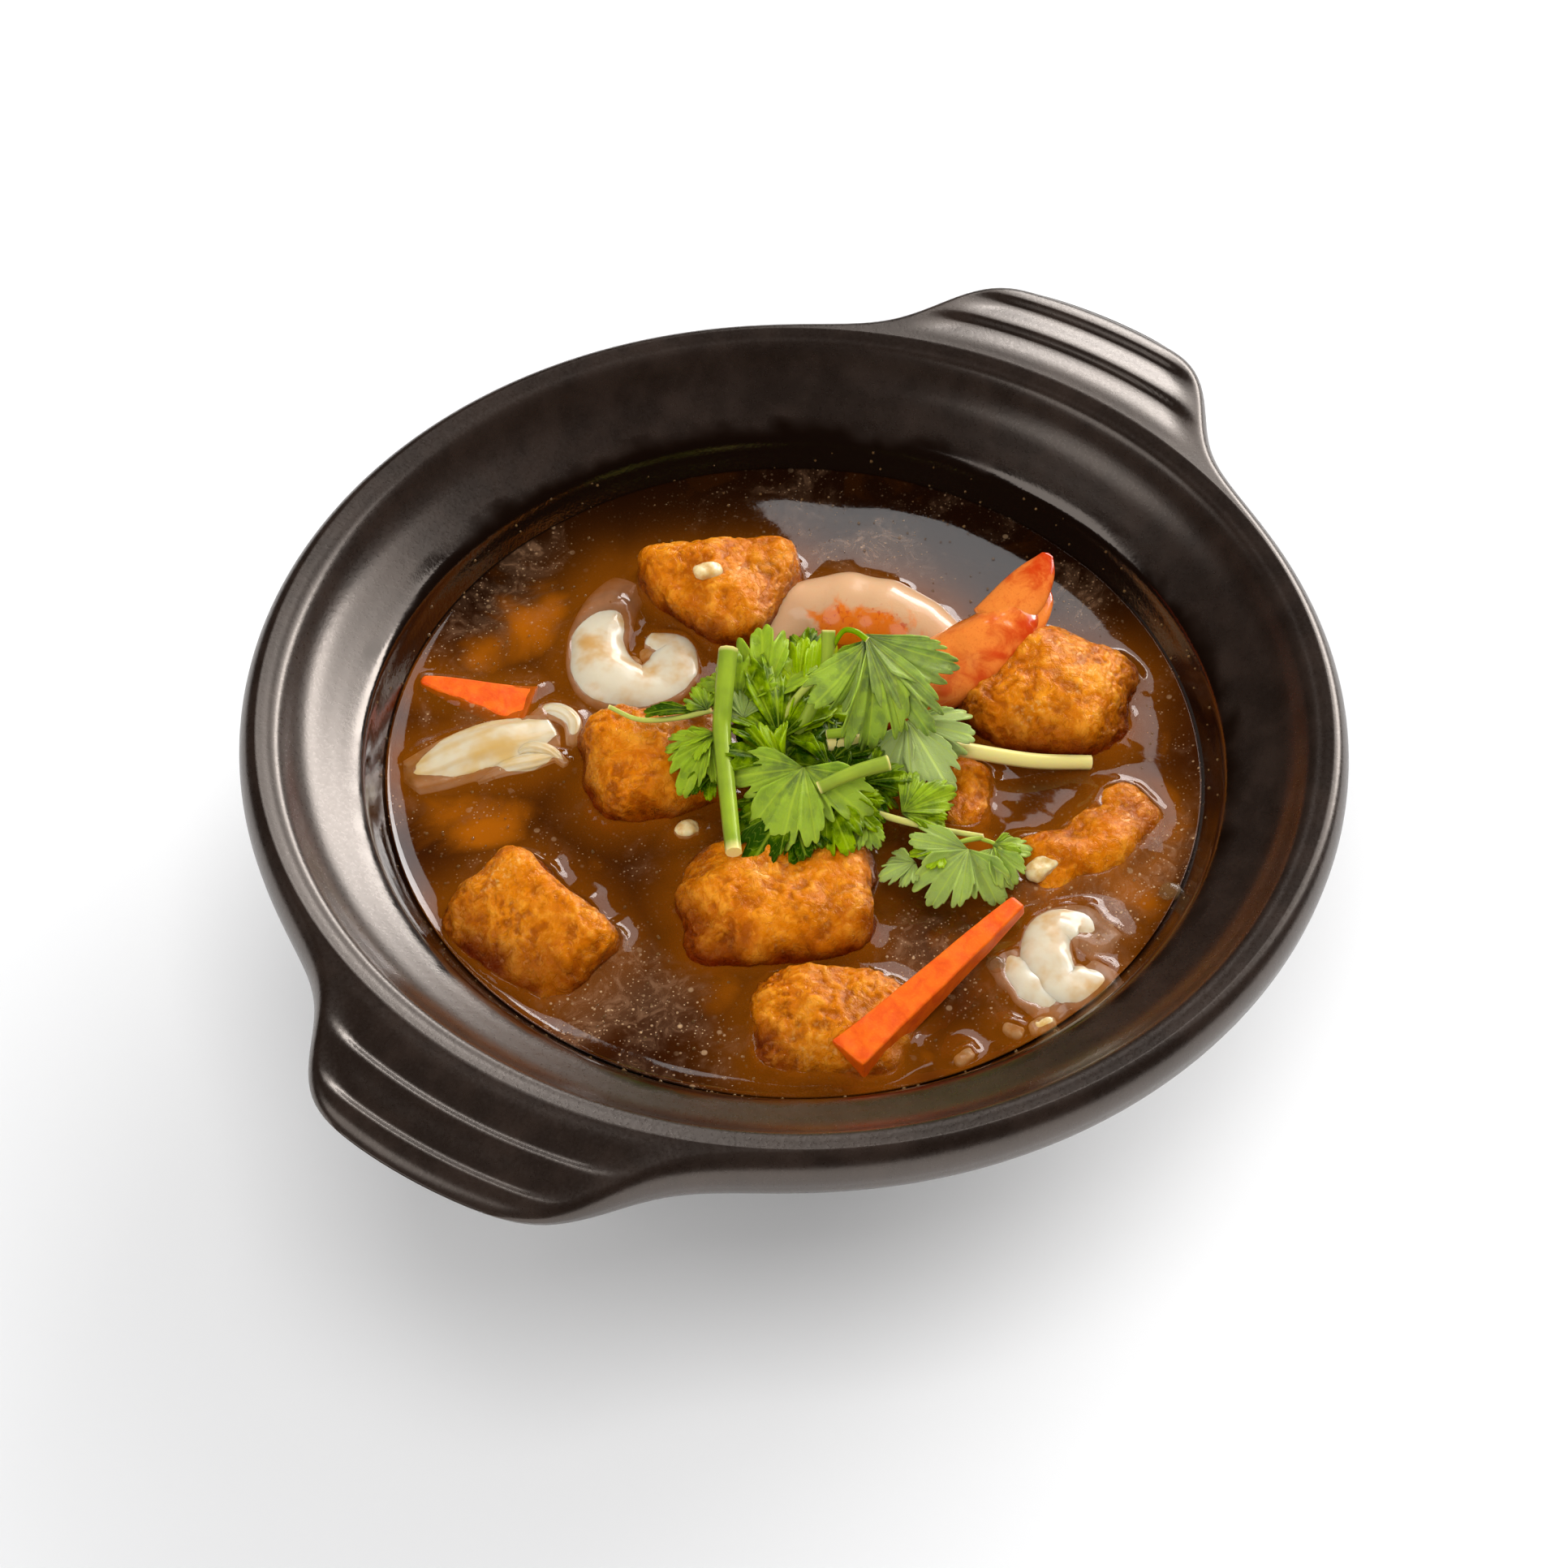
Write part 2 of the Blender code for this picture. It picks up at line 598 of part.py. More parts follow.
def main():
    clear_scene()
    stoneware = principled("Matt stoneware glaze", (0.060, 0.050, 0.043), 0.45)
    golden = principled("Fried tofu skin", (0.62, 0.26, 0.04), 0.45, 0.1)
    shrimp_flesh = principled("Cooked shrimp", (0.80, 0.33, 0.16), 0.3, 0.2)
    squid_flesh = principled("Cooked squid", (0.80, 0.74, 0.62), 0.3, 0.2)
    cabbage_flesh = principled("Cabbage stem", (0.72, 0.62, 0.42), 0.3, 0.2)
    carrot_flesh = principled("Carrot", (0.85, 0.18, 0.02), 0.35, 0.1)
    coriander_green = principled("Coriander", (0.13, 0.33, 0.04), 0.45)
    brown_broth = principled("Brown broth", (0.20, 0.085, 0.03), 0.08)

    pot = make_pot(stoneware)
    serving = bpy.data.objects.new("Serving", None)
    serving.location = (0, 0, BROTH_LEVEL * MM)
    serving.rotation_euler = (0, 0, SERVING_TURN)
    bpy.context.scene.collection.objects.link(serving)

    tofu = make_tofu(golden)
    shrimp = make_shrimp(shrimp_flesh)
    squid = make_squid(squid_flesh)
    cabbage = make_cabbage(cabbage_flesh)
    carrots = make_carrots(carrot_flesh)
    coriander = make_coriander(coriander_green)

    in_broth = [*tofu.values(), shrimp, *squid, *cabbage, *carrots]
    for piece in [*in_broth, coriander]:
        piece.parent = serving
    bpy.context.view_layer.update()
    for name in ("tofu_back", "tofu_right", "tofu_middle"):
        bed_in(tofu[name], [shrimp], "MANIFOLD")
    for name in ("tofu_corner", "tofu_near"):
        bed_in(tofu[name], [pot])
    bed_in(tofu["tofu_near"], [carrots[0], tofu["tofu_front"]])
    bed_in(squid[1], [carrots[0]])
    bed_in(carrots[1], [cabbage[0]])
    bed_in(coriander, [*tofu.values(), shrimp])
    make_broth(brown_broth, in_broth)


main()
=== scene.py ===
"""Claypot tofu: the looks of the two-eared pot, its broth and the food in it, laid out as a Blender add-on.

Sizes are in millimetres until a mesh is made. The food is laid out as the diner sees it: x to the right, y
away and z above the broth's surface. The pot's own frame stands on the table with +X through its ears.
"""

import functools
import itertools
import json
import math

import bpy
import numpy as np
from mathutils import Euler, Matrix, Vector, kdtree, noise

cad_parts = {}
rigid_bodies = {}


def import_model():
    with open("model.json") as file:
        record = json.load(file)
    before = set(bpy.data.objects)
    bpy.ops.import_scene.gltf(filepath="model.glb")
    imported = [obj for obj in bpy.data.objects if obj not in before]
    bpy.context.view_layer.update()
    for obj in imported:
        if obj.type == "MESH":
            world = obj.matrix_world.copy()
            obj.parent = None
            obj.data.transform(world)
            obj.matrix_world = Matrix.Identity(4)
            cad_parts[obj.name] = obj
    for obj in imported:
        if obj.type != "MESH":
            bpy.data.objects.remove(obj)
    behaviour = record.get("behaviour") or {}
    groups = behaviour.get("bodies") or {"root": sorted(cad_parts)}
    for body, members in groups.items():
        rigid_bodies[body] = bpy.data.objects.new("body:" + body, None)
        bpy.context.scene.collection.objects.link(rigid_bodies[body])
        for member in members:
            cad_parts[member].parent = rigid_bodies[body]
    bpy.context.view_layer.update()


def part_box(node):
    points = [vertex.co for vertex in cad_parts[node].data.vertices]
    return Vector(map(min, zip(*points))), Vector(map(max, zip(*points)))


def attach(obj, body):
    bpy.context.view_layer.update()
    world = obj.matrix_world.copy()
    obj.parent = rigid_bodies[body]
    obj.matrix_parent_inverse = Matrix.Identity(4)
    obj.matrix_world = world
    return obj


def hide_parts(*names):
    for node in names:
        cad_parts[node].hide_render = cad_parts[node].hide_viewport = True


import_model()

bl_info = {
    "name": "Claypot tofu",
    "version": (1, 0, 0),
    "blender": (4, 5, 0),
    "location": "3D View > Sidebar > Claypot",
    "description": "Builds a claypot of tofu, shrimp and vegetables around its packed solids",
    "category": "Object",
}

MM = 0.001
SERVING_TURN = math.radians(-59.6)
BROTH_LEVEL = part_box("broth")[1][2] / MM
RIM_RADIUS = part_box("pot")[1][1] / MM
# How far a closed tube's tip stands past its last ring, as a share of that ring's half width.
TIP_REACH = 0.4
# How slowly a block's taper starts towards its near end.
TAPER_EASE = 1.6
# Large odd numbers that scatter the corners of the noise's lattice, and its seeds.
SCATTER = np.array((374761393, 668265263, 2147483647))
SCATTER_SEED = 1274126177


# ---------------------------------------------------------------- numbers and meshes


def srgb(code):
    """A hex sRGB colour as linear RGBA."""
    values = [int(code[start : start + 2], 16) / 255 for start in (0, 2, 4)]
    linear = [v / 12.92 if v <= 0.04045 else ((v + 0.055) / 1.055) ** 2.4 for v in values]
    return (*linear, 1.0)


def smoothstep(value, low=0.0, high=1.0):
    """0 up to low and 1 from high on, with a soft rise between them."""
    share = np.clip((value - low) / (high - low), 0.0, 1.0)
    return share * share * (3 - 2 * share)


def lattice_noise(points, seed):
    """Smooth random values from -1 to 1, for points counted in lattice cells."""
    cell = np.floor(points)
    part = points - cell
    ease = part * part * (3 - 2 * part)
    total = np.zeros(len(points))
    for corner in itertools.product((0, 1), repeat=3):
        at = (cell + corner).astype(np.int64)
        key = at @ SCATTER + seed * SCATTER_SEED
        key = (key ^ (key >> 13)) * SCATTER_SEED
        key = key ^ (key >> 16)
        value = (key & 0xFFFFFF) / 0xFFFFFF * 2 - 1
        total += value * np.prod(np.where(corner, ease, 1 - ease), axis=1)
    return total


def layered_noise(points, width, seed, octaves=3):
    """Several sizes of lattice noise, each half as wide and high as the one before. Width is in mm."""
    total = np.zeros(len(points))
    for octave in range(octaves):
        total += lattice_noise(points / width * 2**octave + 17.3 * octave, seed + octave) / 2**octave
    return total


def curve_through(points, per_span):
    """A Catmull-Rom curve through the points, with per_span samples from each point to the next."""
    points = np.array(points, float)
    padded = np.vstack([2 * points[0] - points[1], points, 2 * points[-1] - points[-2]])
    samples = []
    for before, start, end, after in zip(padded, padded[1:], padded[2:], padded[3:]):
        for step in range(per_span):
            t = step / per_span
            bend = 2 * before - 5 * start + 4 * end - after
            cubic = 3 * start - before - 3 * end + after
            samples.append(start + 0.5 * t * ((end - before) + t * (bend + t * cubic)))
    return np.array([*samples, points[-1]])


def to_table(points):
    """From the diner's layout in mm to the pot's frame in metres."""
    cos, sin = math.cos(SERVING_TURN), math.sin(SERVING_TURN)
    x, y, z = np.asarray(points, float).T
    return np.stack([x * cos - y * sin, x * sin + y * cos, z + BROTH_LEVEL], axis=1) * MM


def pot_frame(points):
    """From the pot's frame in mm to metres."""
    return np.asarray(points, float) * MM


def place_object(name, data):
    """A new object at the origin, in the scene."""
    obj = bpy.data.objects.new(name, data)
    bpy.context.scene.collection.objects.link(obj)
    return obj


def make_piece(name, points, faces, material, to_world=to_table, attributes=None, uv=None):
    """A smooth-shaded object with its place in its mesh. uv holds one pair for each point."""
    mesh = bpy.data.meshes.new(name)
    mesh.from_pydata(to_world(points).tolist(), [], [list(face) for face in faces])
    for key, values in (attributes or {}).items():
        layer = mesh.attributes.new(key, "FLOAT", "POINT")
        layer.data.foreach_set("value", np.asarray(values, np.float32))
    if uv is not None:
        corners = np.empty(len(mesh.loops), np.int32)
        mesh.loops.foreach_get("vertex_index", corners)
        layer = mesh.uv_layers.new(name="UVMap")
        layer.data.foreach_set("uv", np.asarray(uv, np.float32)[corners].ravel())
    mesh.materials.append(material)
    mesh.shade_smooth()
    mesh.validate()
    return place_object(name, mesh)


def finish_piece(piece, slot, *nodes):
    """Rides the piece on the pot's body and lets it stand for its CAD nodes."""
    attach(piece, "root")
    if nodes:
        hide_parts(*nodes)
    return piece


def grid_quads(rows, columns, wrap=True):
    """Quads of a grid stored row by row. wrap joins the last column to the first."""
    here = np.arange(rows * columns).reshape(rows, columns)
    along = np.roll(here, -1, axis=1) if wrap else here[:, 1:]
    here = here if wrap else here[:, :-1]
    quads = np.stack([here[:-1], along[:-1], along[1:], here[1:]], axis=-1)
    return quads.reshape(-1, 4)


def cap(border, tip, flip=False):
    """Triangles from a closed ring of point numbers to one tip."""
    after = np.roll(border, -1)
    pairs = zip(after, border) if flip else zip(border, after)
    return [(int(a), int(b), int(tip)) for a, b in pairs]


def ring(radius, height, sides):
    """Points of a level ring round the pot's axis."""
    turns = np.arange(sides) * 2 * math.pi / sides
    return np.stack([radius * np.cos(turns), radius * np.sin(turns), np.full(sides, height)], axis=1)


def joined(parts):
    """One array of points and one of faces from a list of them."""
    starts = np.cumsum([0] + [len(points) for points, _ in parts[:-1]])
    faces = [faces + start for (_, faces), start in zip(parts, starts)]
    return np.vstack([points for points, _ in parts]), np.vstack(faces)


def point_normals(points, quads):
    """The outward direction at each point, from the quads round it."""
    quads = np.asarray(quads)
    corners = [points[quads[:, k]] for k in range(4)]
    faces = np.cross(corners[2] - corners[0], corners[3] - corners[1])
    normals = np.zeros_like(points)
    for k in range(4):
        np.add.at(normals, quads[:, k], faces)
    return normals / np.maximum(np.linalg.norm(normals, axis=1, keepdims=True), 1e-9)


def cube_skin(cells):
    """Points and quads of a cube's skin from -1 to 1, welded along its edges."""
    line = np.linspace(-1, 1, cells + 1)
    across, upward = (grid.ravel() for grid in np.meshgrid(line, line, indexing="ij"))
    quads = grid_quads(cells + 1, cells + 1, wrap=False)
    sheets = []
    for axis, side in itertools.product(range(3), (-1, 1)):
        sheet = np.empty((len(across), 3))
        sheet[:, axis] = side
        sheet[:, (axis + 1) % 3] = -across * side
        sheet[:, (axis + 2) % 3] = upward
        sheets.append((sheet, quads))
    everything, faces = joined(sheets)
    keys = np.round(everything * 1e5).astype(np.int64)
    _, first, index = np.unique(keys, axis=0, return_index=True, return_inverse=True)
    return everything[first], index.ravel()[faces]


def rounded_block(size, squareness, cells, taper=0.0, skew=0.0):
    """A block with soft edges. taper narrows its near end, and skew slides that end to the right."""
    points, quads = cube_skin(cells)
    spread = (np.abs(points) ** squareness).sum(axis=1) ** (1 / squareness)
    points = points / spread[:, None]
    near = ((1 - points[:, 1]) / 2) ** TAPER_EASE
    points[:, 0] = points[:, 0] * (1 - taper * near) * size[0] / 2 + skew * near
    points[:, 1] *= size[1] / 2
    points[:, 2] *= size[2] / 2
    return points, quads


def turned(points, centre, turns):
    """The points turned by three angles in degrees, then moved to their centre."""
    turn = np.array(Euler([math.radians(angle) for angle in turns], "XYZ").to_matrix())
    return points @ turn.T + np.array(centre)


def sweep(spine, sides, per_span, flat, shape):
    """A closed tube along a curve of (x, y, z, half width), with its height made flat times its width.

    shape(turn, along) scales each ring's radius. Returns points, faces, and the turn and the share of the
    length at each point.
    """
    path = curve_through(spine, per_span)
    forward = np.gradient(path[:, :3], axis=0)
    forward /= np.linalg.norm(forward, axis=1, keepdims=True)
    sideways = np.cross(forward, (0, 0, 1))
    sideways /= np.linalg.norm(sideways, axis=1, keepdims=True)
    upward = np.cross(sideways, forward)
    steps = np.linalg.norm(np.diff(path[:, :3], axis=0), axis=1)
    along = np.concatenate([[0], np.cumsum(steps)]) / steps.sum()
    turns = 2 * math.pi * np.arange(sides) / sides
    turn_grid, along_grid = np.meshgrid(turns, along)
    reach = path[:, 3][:, None] * shape(turn_grid, along_grid)
    rings = (
        path[:, None, :3]
        + sideways[:, None] * (np.cos(turn_grid) * reach)[..., None]
        + upward[:, None] * (np.sin(turn_grid) * reach * flat)[..., None]
    )
    first_tip = path[0, :3] - forward[0] * path[0, 3] * TIP_REACH
    last_tip = path[-1, :3] + forward[-1] * path[-1, 3] * TIP_REACH
    points = np.vstack([rings.reshape(-1, 3), first_tip, last_tip])
    rows = len(path)
    faces = grid_quads(rows, sides)[:, ::-1].tolist()
    faces += cap(np.arange(sides), rows * sides)
    faces += cap(np.arange(sides) + (rows - 1) * sides, rows * sides + 1, flip=True)
    turn_all = np.concatenate([turn_grid.ravel(), [0, 0]])
    along_all = np.concatenate([along_grid.ravel(), [0, 1]])
    return points, faces, turn_all, along_all


# ---------------------------------------------------------------- nodes and materials

# Each kind of node by a short name: its type, its settings, the sockets that values fill in turn, and the
# output it gives, or None where it gives all of them.
KINDS = {
    "point": ("ShaderNodeTexCoord", {}, (), "Object"),
    "direction": ("ShaderNodeTexCoord", {}, (), "Generated"),
    "uv": ("ShaderNodeUVMap", {}, (), "UV"),
    "attribute": ("ShaderNodeAttribute", {}, (), "Fac"),
    "noise": ("ShaderNodeTexNoise", {}, ("Vector", "Scale", "Detail", "Roughness", "Distortion"), "Fac"),
    "cells": ("ShaderNodeTexVoronoi", {}, ("Vector", "Scale"), None),
    "channels": ("ShaderNodeSeparateColor", {}, (0,), None),
    "axes": ("ShaderNodeSeparateXYZ", {}, (0,), None),
    "ramp": (
        "ShaderNodeMapRange",
        {"interpolation_type": "SMOOTHSTEP"},
        ("Value", "From Min", "From Max", "To Min", "To Max"),
        "Result",
    ),
    "mix": ("ShaderNodeMix", {"data_type": "RGBA"}, (0, 6, 7), 2),
    "mix values": ("ShaderNodeMix", {"data_type": "FLOAT"}, (0, 2, 3), 0),
    "bump": ("ShaderNodeBump", {}, ("Height", "Distance", "Strength"), "Normal"),
    "absorption": ("ShaderNodeVolumeAbsorption", {}, ("Color", "Density"), 0),
    "group inputs": ("NodeGroupInput", {}, (), None),
    "group output": ("NodeGroupOutput", {}, (0,), None),
    "named values": ("GeometryNodeInputNamedAttribute", {"data_type": "FLOAT"}, ("Name",), 0),
    "curve": ("GeometryNodeMeshToCurve", {}, ("Mesh",), 0),
    "star": ("GeometryNodeCurveStar", {}, ("Points", "Inner Radius", "Outer Radius"), 0),
    "tube": ("GeometryNodeCurveToMesh", {}, ("Curve", "Profile Curve", "Scale", "Fill Caps"), 0),
    "spots": ("GeometryNodeDistributePointsOnFaces", {}, ("Mesh", "Density", "Seed"), "Points"),
    "random": ("FunctionNodeRandomValue", {"data_type": "FLOAT"}, (2, 3, "Seed"), 1),
    "ball": ("GeometryNodeMeshIcoSphere", {}, ("Radius", "Subdivisions"), "Mesh"),
    "instances": ("GeometryNodeInstanceOnPoints", {}, ("Points", "Instance", "Scale"), 0),
    "realized": ("GeometryNodeRealizeInstances", {}, (0,), 0),
    "smooth": ("GeometryNodeSetShadeSmooth", {}, ("Geometry",), 0),
    "painted": ("GeometryNodeSetMaterial", {}, ("Geometry", "Material"), 0),
}
for operation in ("ADD", "SUBTRACT", "MULTIPLY", "MAXIMUM", "FRACT", "ABSOLUTE"):
    KINDS[operation.lower()] = ("ShaderNodeMath", {"operation": operation}, (0, 1), 0)


def feed(tree, socket, value):
    """Sets a socket to a value, or links another node's output to it."""
    if isinstance(value, bpy.types.NodeSocket):
        tree.links.new(value, socket)
    else:
        socket.default_value = value


def add(tree, kind, *values, **settings):
    """Adds a node with its settings and links, and gives its output. A value may be a node's output too."""
    node_type, usual, sockets, output = KINDS[kind]
    made = tree.nodes.new(node_type)
    for name, value in (usual | settings).items():
        setattr(made, name, value)
    for key, value in zip(sockets, values):
        feed(tree, made.inputs[key], value)
    return made.outputs if output is None else made.outputs[output]


def new_material(name):
    """A material, the add function for its tree and its Object coordinates."""
    material = bpy.data.materials.new(name)
    material.use_nodes = True
    node = functools.partial(add, material.node_tree)
    return material, node, node("point")


def finish_material(material, **values):
    """Sets sockets of the material's shader, with _ for each space in a socket's name."""
    tree = material.node_tree
    for name, value in values.items():
        feed(tree, tree.nodes["Principled BSDF"].inputs[name.replace("_", " ")], value)
    return material


def finish_food(material, colour, roughness, normal, ior, soft, coat, **others):
    """Ends the material of a moist food.

    soft is the weight, radius and scale of the light that spreads under its skin, and coat is the weight
    and roughness of the wet film on it.
    """
    values = {"Base_Color": colour, "Roughness": roughness, "Normal": normal, "IOR": ior}
    values |= zip(("Subsurface_Weight", "Subsurface_Radius", "Subsurface_Scale"), soft)
    values |= zip(("Coat_Weight", "Coat_Roughness"), coat)
    return finish_material(material, **values, **others)


def scale(width):
    """The scale of a pattern whose lumps are this many mm across.

    Real pores, fibres, grain and specks of less than about 0.45 mm are too fine to show in the render, so
    those patterns are drawn as coarse as they need to show.
    """
    return 1 / (width * MM)


def stoneware_glaze(settings):
    """Reduction-fired stoneware under a thin matt glaze: satin, orange-peeled, mottled, dark where wet."""
    material, node, point = new_material("Matt stoneware glaze")
    fine = node("noise", point, scale(0.6), 2.0, 0.55)
    wet = node("attribute", attribute_name="wet")
    mottle = node("ramp", node("noise", point, scale(9.0), 4.0, 0.55), 0.35, 0.7)
    dry = node("mix", mottle, settings.glaze, settings.glaze_light)
    dry = node("mix", node("ramp", fine, 0.56, 0.7, 0, 0.3), dry, settings.glaze_light)
    colour = node("mix", wet, dry, settings.glaze_wet)
    dull = node("ramp", fine, 0.3, 0.75, settings.roughness - 0.03, settings.roughness + 0.03)
    rough = node("mix values", wet, dull, 0.12)
    relief = node("add", fine, node("multiply", node("noise", point, scale(1.5), 2.0, 0.55), 1.6))
    normal = node("bump", relief, 0.03 * MM, 0.4)
    tint = srgb("fff0e4")
    return finish_material(
        material, Base_Color=colour, Roughness=rough, Normal=normal, IOR=1.9, Specular_Tint=tint
    )


# Starch specks in the broth: how far apart in mm, and the share of places that stay empty.
SPECKS = [(0.7, 0.3), (1.2, 0.6), (2.6, 0.85)]


def brown_broth(settings):
    """Murky brown broth: a veil of starch with curling wisps and specks over a liquid that swallows light.

    The veil thins out over and beside the food, so that what is sunk there glows through, and a painted
    amber glow adds to it. Painted shade darkens the veil towards the back, and it also darkens towards the
    front wall.
    """
    material, node, point = new_material("Murky brown broth")
    names = ("near", "murk_and_light", "amber", "milk")
    near, murk_and_light, amber, milk = (node("attribute", attribute_name=name) for name in names)
    clouds = node("noise", point, scale(17.0), 4.0, 0.6, 1.0)
    cloudy = node("add", milk, node("ramp", clouds, 0.3, 0.7, -0.4, 0.3))
    wisps = node("ramp", node("noise", point, scale(4.5), 7.0, 0.7, 1.7), 0.44, 0.72)
    strand = node("multiply", wisps, node("ramp", cloudy, 0.0, 0.8))
    specks = 0.0
    for width, empty in SPECKS:
        cells = node("cells", point, scale(width))
        inner = node("ramp", cells["Distance"], 0.15, 0.27, 1.0, 0.0)
        pick = node("channels", cells["Color"])[0]
        specks = node("maximum", specks, node("multiply", inner, node("ramp", pick, empty, 1.0)))
    specks = node("multiply", specks, node("ramp", cloudy, -0.1, 0.6, 0.12, 1.0))
    specks = node("multiply", specks, node("ramp", murk_and_light, 0.0, 1.0, 0.4, 1.0))
    veil = node("ramp", near, 0.0, 1.0, settings.haze, settings.haze_near)
    veil = node("add", veil, node("multiply", strand, 0.3))
    veil = node("maximum", veil, node("multiply", specks, 0.8))
    # Painted amber glow of sunk food, in the listed spots and beside the food.
    warm = node("add", amber, node("ramp", clouds, 0.35, 0.65, 0.1, -0.1))
    warm = node("maximum", node("ramp", warm, 0.0, 1.0), node("multiply", near, 0.9))
    # Painted shade: the veil's colour turns dark towards the back of the broth.
    shade = node("mix", murk_and_light, settings.dark, settings.deep)
    shade = node("mix", warm, shade, settings.glow)
    shade = node("mix", node("ramp", cloudy, 0.1, 0.9, 0.0, 0.2), shade, settings.milky)
    shade = node("mix", node("multiply", strand, 0.62), shade, settings.milky)
    shade = node("mix", node("multiply", specks, 0.85), shade, settings.speck)
    ripple = node("multiply", node("noise", point, scale(2.2), 2.0, 0.55), 0.35)
    normal = node("bump", node("add", node("multiply", specks, 0.8), ripple), 0.04 * MM, 1.0)
    finish_material(material, Base_Color=shade, Roughness=0.05, IOR=1.36, Alpha=veil, Normal=normal)
    finish_material(material, Coat_Weight=0.85, Coat_Roughness=0.03, Coat_IOR=1.45)
    absorption = node("absorption", tuple(settings.tint), settings.density)
    tree = material.node_tree
    tree.links.new(absorption, tree.nodes["Material Output"].inputs["Volume"])
    return material


def fried_tofu_skin(settings):
    """Deep-fried bean curd: a golden skin with fine crinkles under a wet film, browner where it soaks;
    painted shade darkens its hollows and lower faces, and painted light brightens its crests.
    """
    material, node, point = new_material("Fried tofu skin")
    crest = node("attribute", attribute_name="crest")
    patches = node("noise", point, scale(8.0), 3.0, 0.55)
    smears = node("noise", point, scale(3.0), 4.0, 0.6, 1.2)
    grain = node("noise", point, scale(1.3), 4.0, 0.66, 0.5)
    bubbles = node("ramp", node("noise", point, scale(0.9), 3.0, 0.55), 0.5, 0.68)
    frosting = node("multiply", bubbles, node("ramp", patches, 0.5, 0.3, 0.0, 0.42))
    colour = node("mix", node("ramp", patches, 0.35, 0.68, 0, 0.7), settings.golden, settings.amber)
    colour = node("mix", node("ramp", smears, 0.5, 0.72, 0, 0.4), colour, settings.crest)
    # Painted shade in the hollows of the crinkles, and painted light on their crests.
    colour = node("mix", node("ramp", crest, 0.1, 0.5, 0.7, 0), colour, settings.crease_shade)
    colour = node("mix", node("ramp", crest, 0.55, 0.95, 0, 0.6), colour, settings.crest)
    # The same painted shade and painted light on the fine grain's hollows and bumps.
    colour = node("mix", node("ramp", grain, 0.3, 0.48, 0.4, 0), colour, settings.crease_shade)
    colour = node("mix", node("ramp", grain, 0.52, 0.72, 0, 0.5), colour, settings.crest)
    colour = node("mix", frosting, colour, settings.frosting)
    # Darker lower down: soaked skin and painted shade on the lower faces.
    soak_and_shade = node("attribute", attribute_name="soak_and_shade")
    colour = node("mix", soak_and_shade, colour, settings.soaked_and_shaded, blend_type="MULTIPLY")
    film = node("ramp", smears, 0.54, 0.6)
    relief = node("multiply", grain, node("ramp", film, 0.0, 1.0, 1.0, 0.35))
    rough = node("ramp", grain, 0.3, 0.7, 0.14, 0.34)
    rough = node("multiply", rough, node("ramp", film, 0.0, 1.0, 1.0, 0.4))
    normal = node("bump", relief, 0.6 * MM, 0.8)
    soft = (0.25, (1.0, 0.4, 0.08), 0.002)
    tint = srgb("ffce90")
    return finish_food(
        material, colour, rough, normal, 1.5, soft, (0.12, 0.08), Coat_Normal=normal, Specular_Tint=tint
    )


def shrimp_flesh(settings):
    """Cooked shrimp: milky, faintly translucent flesh with broad orange bands and thin red streaks."""
    material, node, point = new_material("Cooked shrimp flesh")
    band = node("attribute", attribute_name="band")
    blotches = node("ramp", node("noise", point, scale(5.0), 4.0, 0.6, 0.8), 0.3, 0.75, -0.32, 0.32)
    amount = node("ramp", node("add", band, blotches), 0.3, 0.85)
    colour = node("mix", amount, settings.flesh, settings.band)
    streaks = node("ramp", node("noise", point, scale(1.6), 4.0, 0.7, 1.5), 0.56, 0.66)
    red = node("multiply", streaks, node("ramp", band, 0.3, 0.8, 0, 0.7))
    colour = node("mix", red, colour, settings.streak)
    normal = node("bump", node("noise", point, scale(0.8), 2.0, 0.55), 0.08 * MM, 0.5)
    return finish_food(material, colour, 0.28, normal, 1.4, (0.45, (1.0, 0.5, 0.3), 0.003), (0.6, 0.06))


def shrimp_shell(settings):
    """Cooked shrimp shell: a thin, glossy orange-red cuticle, deepest along its margins and at the tip."""
    material, node, point = new_material("Cooked shrimp shell")
    blotches = node("noise", point, scale(4.0), 4.0, 0.6, 0.5)
    dots = node("noise", point, scale(0.5), 2.0, 0.55)
    tip = node("attribute", attribute_name="tip")
    deep = node("add", tip, node("ramp", blotches, 0.3, 0.7, -0.25, 0.25))
    colour = node("mix", node("ramp", deep, 0.2, 0.95), settings.shell, settings.shell_tip)
    colour = node("mix", node("ramp", dots, 0.56, 0.7, 0, 0.3), colour, settings.streak)
    normal = node("bump", node("add", blotches, node("multiply", dots, 0.25)), 0.35 * MM, 0.45)
    return finish_food(material, colour, 0.18, normal, 1.5, (0.2, (1.0, 0.35, 0.2), 0.002), (1.0, 0.05))


def squid_flesh(settings):
    """Cooked squid: dense satin white, warmer and translucent where it thins out."""
    material, node, point = new_material("Cooked squid")
    warm = node("ramp", node("noise", point, scale(7.0), 3.0, 0.55), 0.4, 0.75)
    colour = node("mix", warm, settings.squid, settings.squid_warm)
    normal = node("bump", node("noise", point, scale(0.9), 2.0, 0.55), 0.05 * MM, 0.4)
    return finish_food(material, colour, 0.27, normal, 1.4, (0.5, (1.0, 0.75, 0.5), 0.004), (0.5, 0.06))


